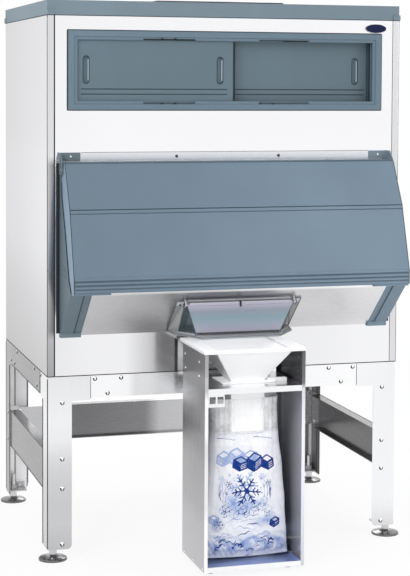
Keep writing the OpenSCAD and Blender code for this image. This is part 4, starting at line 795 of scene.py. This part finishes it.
# Painted light: emission that grows where the funnel's surface faces up
split = add(tree, "ShaderNodeSeparateXYZ")
join(add(tree, "ShaderNodeNewGeometry").outputs["Normal"], split.inputs[0])
join(remap(split.outputs["Z"], 0, GLOW, 0.05, 0.5), shader.inputs["Emission Strength"])
shader.inputs["Emission Color"].default_value = (1, 1, 1, 1)
dress(glowing_funnel, "funnel")
soften(0.002, 2, "funnel", "spout")


# Ice bag: a sleeve of thin film, clear at its mouth and printed below, welded flat along
# its bottom. It hangs open round the spout, and folds run down from its mouth and up
# from the weld. The print is a plain pattern of ice blocks, crystals, dots and waves.
BAG_TOP, BAG_LOW, BAG_X, BAG_FRONT, BAG_BACK = 598.0, 32.0, 122.0, -251.6, -147.9
PRINT_TOP, WELD_REACH, ROW_SAG = 470.0, 140.0, 5.0


def smooth_step(value, start, end):
    """0 before start, 1 after end and 3t^2 - 2t^3 between them."""
    t = np.clip((value - start) / (end - start), 0, 1)
    return t * t * (3 - 2 * t)


def bag_outline(z):
    """Half width, front and back of the sleeve at height z, in mm, by the share of the way
    down: the half width is read from a table, the front bows by a sine, the back steps
    smoothly up to 34 mm behind it, and at the weld both close on their middle."""
    down = (BAG_TOP - z) / (BAG_TOP - BAG_LOW)
    half = BAG_X + np.interp(down, [0, 0.18, 0.3, 0.5, 0.8, 1], [0, 0, 9, 19, 27, 36])
    flat = smooth_step(down, 0.2, 1.0)
    front = BAG_FRONT + 9 * flat - 4 * np.sin(np.pi * np.clip((down - 0.25) / 0.75, 0, 1))
    back = BAG_BACK + (front + 34 - BAG_BACK) * smooth_step(down, 0.22, 0.85)
    weld = smooth_step(down, 0.93, 1.0)
    middle = 0.5 * (front + back)
    return half, front + (middle - 0.6 - front) * weld, back + (middle + 0.6 - back) * weld


def bag_folds(a, z):
    """How far the film stands out, in mm, at distance a from its middle line and height z:
    the sum of pleats, sin of a fading down from the mouth, of straight creases, each a
    ridge exp(-(d/w)^2) of the distance d to a line, and of crumples above the weld."""
    down = (BAG_TOP - z) / (BAG_TOP - BAG_LOW)
    out = (1.6 + 1.4 * np.sin(0.16 * a + 0.8) + np.sin(0.37 * a)) * np.exp(-(down / 0.3) ** 2)
    dice = np.random.default_rng(7)
    for _ in range(22):
        x0, z0, lean = dice.uniform(-130, 130), dice.uniform(70, 480), dice.uniform(-0.9, 0.9)
        size, wide, long = dice.uniform(-1.6, 2.0), dice.uniform(3, 9), dice.uniform(40, 130)
        off = (a - x0) * np.cos(lean) + (z - z0) * np.sin(lean)
        on = -(a - x0) * np.sin(lean) + (z - z0) * np.cos(lean)
        out = out + size * np.exp(-(off / wide) ** 2 - (on / long) ** 2)
    for level_z, size in ((472, 2.2), (430, 1.8), (118, 1.5)):
        bend = level_z + 5 * np.sin(0.018 * a + level_z)
        out = out + size * np.exp(-((z - bend) / 4.0) ** 2)
    low = smooth_step(down, 0.84, 0.95) * (1 - smooth_step(down, 0.97, 1.0))
    crumple = np.sin(0.11 * a + 0.05 * z) * np.sin(0.19 * a - 0.14 * z + 1) + 0.6 * np.sin(0.31 * a + 0.2 * z)
    return out + 3.2 * low * crumple


def segment(px, pz, a, b, wide):
    """Distance in mm to the line from a to b, less wide: the nearest point lies at the share
    t = (p - a).(b - a) / |b - a|^2 of the line, held between 0 and 1."""
    ax, az, bx, bz = *a, *b
    t = np.clip(((px - ax) * (bx - ax) + (pz - az) * (bz - az)) / ((bx - ax) ** 2 + (bz - az) ** 2), 0, 1)
    return np.hypot(px - ax - t * (bx - ax), pz - az - t * (bz - az)) - wide


def crystal(px, pz, x0, z0, size):
    """Distance to a six-armed snow crystal: the plane is folded into one sixth of a turn
    and the arm and its two pairs of branches are lines."""
    r, turn = np.hypot(px - x0, pz - z0), np.arctan2(pz - z0, px - x0)
    turn = np.abs((turn + np.pi / 6) % (np.pi / 3) - np.pi / 6)
    u, v = r * np.cos(turn), r * np.sin(turn)
    best = segment(u, v, (0, 0), (size, 0), 0.045 * size)
    for at, long in ((0.42, 0.30), (0.70, 0.22)):
        tip = ((at + long * 0.6) * size, long * 0.8 * size)
        best = np.minimum(best, segment(u, v, (at * size, 0), tip, 0.04 * size))
    return np.minimum(best, np.abs(r - 0.16 * size) - 0.035 * size)


def ice_block(px, pz, x0, z0, size, line, solid):
    """Distance to an ice block of the given radius: a hexagon and three lines from its middle,
    of the given half width. A solid one has its left face filled and its right face hatched
    by a repeating stripe."""
    turns = [k * math.pi / 3 for k in range(6)]
    corners = [(x0 + size * math.sin(turn), z0 + size * math.cos(turn)) for turn in turns]
    best = np.full(px.shape, 1e3)
    for k in range(6):
        best = np.minimum(best, segment(px, pz, corners[k], corners[(k + 1) % 6], line))
    for k in (1, 3, 5):
        best = np.minimum(best, segment(px, pz, (x0, z0), corners[k], line))
    for mirror in (1, -1) if solid else ():
        u, v = mirror * (px - x0), pz - z0
        w = v + 0.577 * u
        face = np.maximum(np.maximum(u + 3, -u - 0.866 * size + 3), np.maximum(w + 3, -w - size + 3))
        if mirror < 0:
            face = np.maximum(face, np.abs(w % 7.0 - 3.5) - 2.3)
        best = np.minimum(best, face)
    return best


def bag_print(a, z):
    """Distance in mm to the print at a, z, below 0 inside it: the least of the distances to
    all its marks. Near the weld the film is gathered, so the pattern is read at a place that
    waves to and fro."""
    gather = smooth_step(z, 128, 56)
    px = a + gather * (11 * np.sin(0.21 * z) + 6 * np.sin(0.13 * a + 0.4 * z))
    px = px + 3.5 * np.sin(0.045 * z + 0.03 * a)
    pz = z + gather * (9 * np.sin(0.09 * a) + 5 * np.sin(0.25 * a + 1)) + 3.5 * np.sin(0.05 * a + 0.02 * z)
    best = np.full(px.shape, 1e3)
    for x0, z0, size in ((-26, 368, 27), (24, 374, 31), (74, 366, 26)):
        best = np.minimum(best, ice_block(px, pz, x0, z0, size, 2.6, True))
    best = np.minimum(best, crystal(px, pz, -2, 268, 54))
    for x0, z0, size in ((-70, 300, 13), (78, 296, 11), (-104, 152, 15)):
        best = np.minimum(best, crystal(px, pz, x0, z0, size))
    for r in (15, 20):
        best = np.minimum(best, np.abs(np.hypot(px + 104, pz - 152) - r) - 0.7)
    for x0, z0, size in ((-74, 214, 15), (-46, 196, 19), (-84, 190, 11), (-12, 204, 15), (52, 214, 16),
                         (26, 194, 18), (72, 190, 12), (2, 184, 10)):
        best = np.minimum(best, ice_block(px, pz, x0, z0, size, 0.9, False))
    best = np.minimum(best, ice_block(px, pz, 102, 156, 17, 2.4, True))
    dice = np.random.default_rng(11)
    for _ in range(50):
        x0, z0, r = dice.uniform(-90, 90), dice.uniform(185, 330), dice.uniform(0.9, 2.6)
        best = np.minimum(best, np.hypot(px - x0, pz - z0) - r)
    for k in range(5):
        turn = np.arctan2(pz - 262, px + 4)
        swirl = np.abs(np.hypot(px + 4, 1.1 * (pz - 262)) - (72 + 7 * k + 5 * np.sin(2 * turn + k))) - 0.8
        best = np.minimum(best, np.maximum(swirl, 20 * (np.abs(np.sin(turn)) - 0.45 + 0.08 * k)))
    for x0 in np.arange(-60, 62, 5.5):
        best = np.minimum(best, segment(px, pz, (x0, 166), (x0 + dice.uniform(0.5, 2.5), 166), 1.1))
    for k, z0 in enumerate((146, 120, 94, 76)):
        wave = z0 + 5 * np.sin(0.07 * px + 1.3 * k) + 2.5 * np.sin(0.19 * px)
        band = np.abs(pz - wave) - (0.6 + 1.3 * np.sin(0.05 * px + 2 * k))
        best = np.minimum(best, np.maximum(band, np.abs(px) - (70 + 14 * k)))
    for _ in range(34):
        x0, z0, long = dice.uniform(-125, 120), dice.uniform(46, 98), dice.uniform(5, 24)
        end = (x0 + long, z0 + dice.uniform(-7, 7))
        best = np.minimum(best, segment(px, pz, (x0, z0), end, dice.uniform(0.4, 2.4)))
    for x0, x1 in ((-112, -46), (24, 88)):
        best = np.minimum(best, segment(px, pz, (x0, 458), (x1, 455), 1.2))
    return best


def bag_wash(a, z):
    """Pale blue behind the print, from 0 to 1: a sum of soft ovals exp(-u^2 - v^2), broken up
    low on the bag by waves that run with the gathered film."""
    total = 0
    for x0, z0, wide, high, share in (
            (-30, 212, 52, 30, 0.9), (-56, 262, 22, 46, 0.5), (72, 160, 46, 15, 0.9),
            (-114, 156, 20, 26, 0.6), (30, 226, 40, 16, 0.4), (-36, 398, 44, 24, 0.4)):
        total = total + share * np.exp(-((a - x0) / wide) ** 2 - ((z - z0) / high) ** 2)
    streak = 0.5 + 0.5 * np.sin(0.10 * a + 2.4 * np.sin(0.055 * z) + 0.12 * z)
    return np.clip(total + (0.25 + 0.9 * streak) * np.exp(-((z - 78) / 30) ** 2), 0, 1)


# The sleeve's grid: t goes across the front from -1 to 1 and back across the rear, closer
# together near the side folds, and z goes up from the weld to the mouth
s = np.concatenate([np.linspace(-1, 1, 121)[:-1], np.linspace(1, -1, 46)[:-1]])[None, :]
t = 0.45 * s + 0.55 * np.sin(np.pi / 2 * s)
at_front = (np.arange(s.size) < 120).astype(float)[None, :]
z = np.linspace(BAG_LOW, BAG_TOP, 245)[:, None]
half, front_line, back_line = bag_outline(z)
bulge = (1 - np.abs(t) ** 4.5) ** (1 / 2.6)
middle = 0.5 * (front_line + back_line)
side = np.where(at_front > 0, front_line - middle, back_line - middle)
a = half * t
folds = bag_folds(a + 400 * (1 - at_front), z) * (1 - np.abs(t) ** 8)
edge = 1 - smooth_step(z, BAG_LOW + 14, BAG_LOW)
y = middle + side * bulge + np.where(at_front > 0, -1, 1) * np.maximum(folds, -1.0) * edge
pressed = np.minimum(y, BAG_FRONT + (middle - BAG_FRONT) * (1 - bulge))
y = np.where((z > PRINT_TOP) & (at_front > 0), pressed, y)
x = a + 1.2 * np.sin(0.05 * z + 2 * at_front) * np.abs(t) ** 3
lifted = z + ROW_SAG * t ** 2 * smooth_step(z, WELD_REACH, BAG_LOW)
grid = np.stack([x, y, lifted], -1) / 1000 + SHIFT
bag = skin_mesh("ice_bag", grid, ends=(True, False))
mesh = bag.data
ink = np.where(at_front > 0, bag_print(a, z), 20.0)
shown = np.where(at_front > 0, bag_print(-(a + 14), z - 20), 20.0)
wash = bag_wash(a, z) * at_front
loose = smooth_step(np.abs(a), 46, 62) * smooth_step(np.abs(a), 0, 62)
for label, values in (("ink", ink), ("ink_behind", shown), ("wash", wash), ("loose", loose),
                      ("height_mm", np.broadcast_to(z, a.shape))):
    mesh.attributes.new(label, "FLOAT", "POINT").data.foreach_set("value", values.ravel())
film, shader, tree = finish("printed_film")
wrinkle = stretched_noise(tree, (30, 30, 22), 5.0, 0.65)
fine = stretched_noise(tree, (160, 160, 90), 3.0, 0.6)


def mark_of(label):
    """The value of a point attribute of the mesh."""
    source = add(tree, "ShaderNodeAttribute", attribute_name=label)
    return source.outputs["Fac"]


clear = remap(mark_of("height_mm"), 0, 1, PRINT_TOP, PRINT_TOP + 16)
body = tint(remap(wrinkle, 0, 1), (0.78, 0.79, 0.86), (0.92, 0.925, 0.955))
broken = combine("MULTIPLY", mark_of("wash"), remap(wrinkle, 0.35, 1.0, 0.4, 0.62))
body = tint(broken, body, (0.09, 0.22, 0.58))
behind = remap(mark_of("ink_behind"), 0.72, 0.0, -1.5, 1.5)
body = tint(behind, body, (0.09, 0.22, 0.56))
inked = remap(mark_of("ink"), 1, 0, -0.4, 0.4)
colour = tint(inked, body, (0.002, 0.035, 0.22))
colour = tint(clear, colour, (0.95, 0.955, 0.97))
join(colour, shader.inputs["Base Color"])
clinging = remap(wrinkle, 0.02, 0.10)
hanging = remap(wrinkle, 0.30, 0.80)
veil = between(mark_of("loose"), clinging, hanging)
join(between(clear, 0.95, veil), shader.inputs["Alpha"])
join(remap(wrinkle, 0.22, 0.38), shader.inputs["Roughness"])
join(remap(inked, 0.5, 0.15, 0, 1), shader.inputs["Specular IOR Level"])
creased = add(tree, "ShaderNodeMath", operation="MULTIPLY_ADD")
creased.inputs[1].default_value = 0.3
join(fine, creased.inputs[0])
join(wrinkle, creased.inputs[2])
relief(shader, creased.outputs[0], 0.004, 0.55)
mesh.materials.append(film)
wall = bag.modifiers.new("film_wall", "SOLIDIFY")
wall.thickness, wall.offset = 0.0003, -1
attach(bag, "bin")
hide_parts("bag")
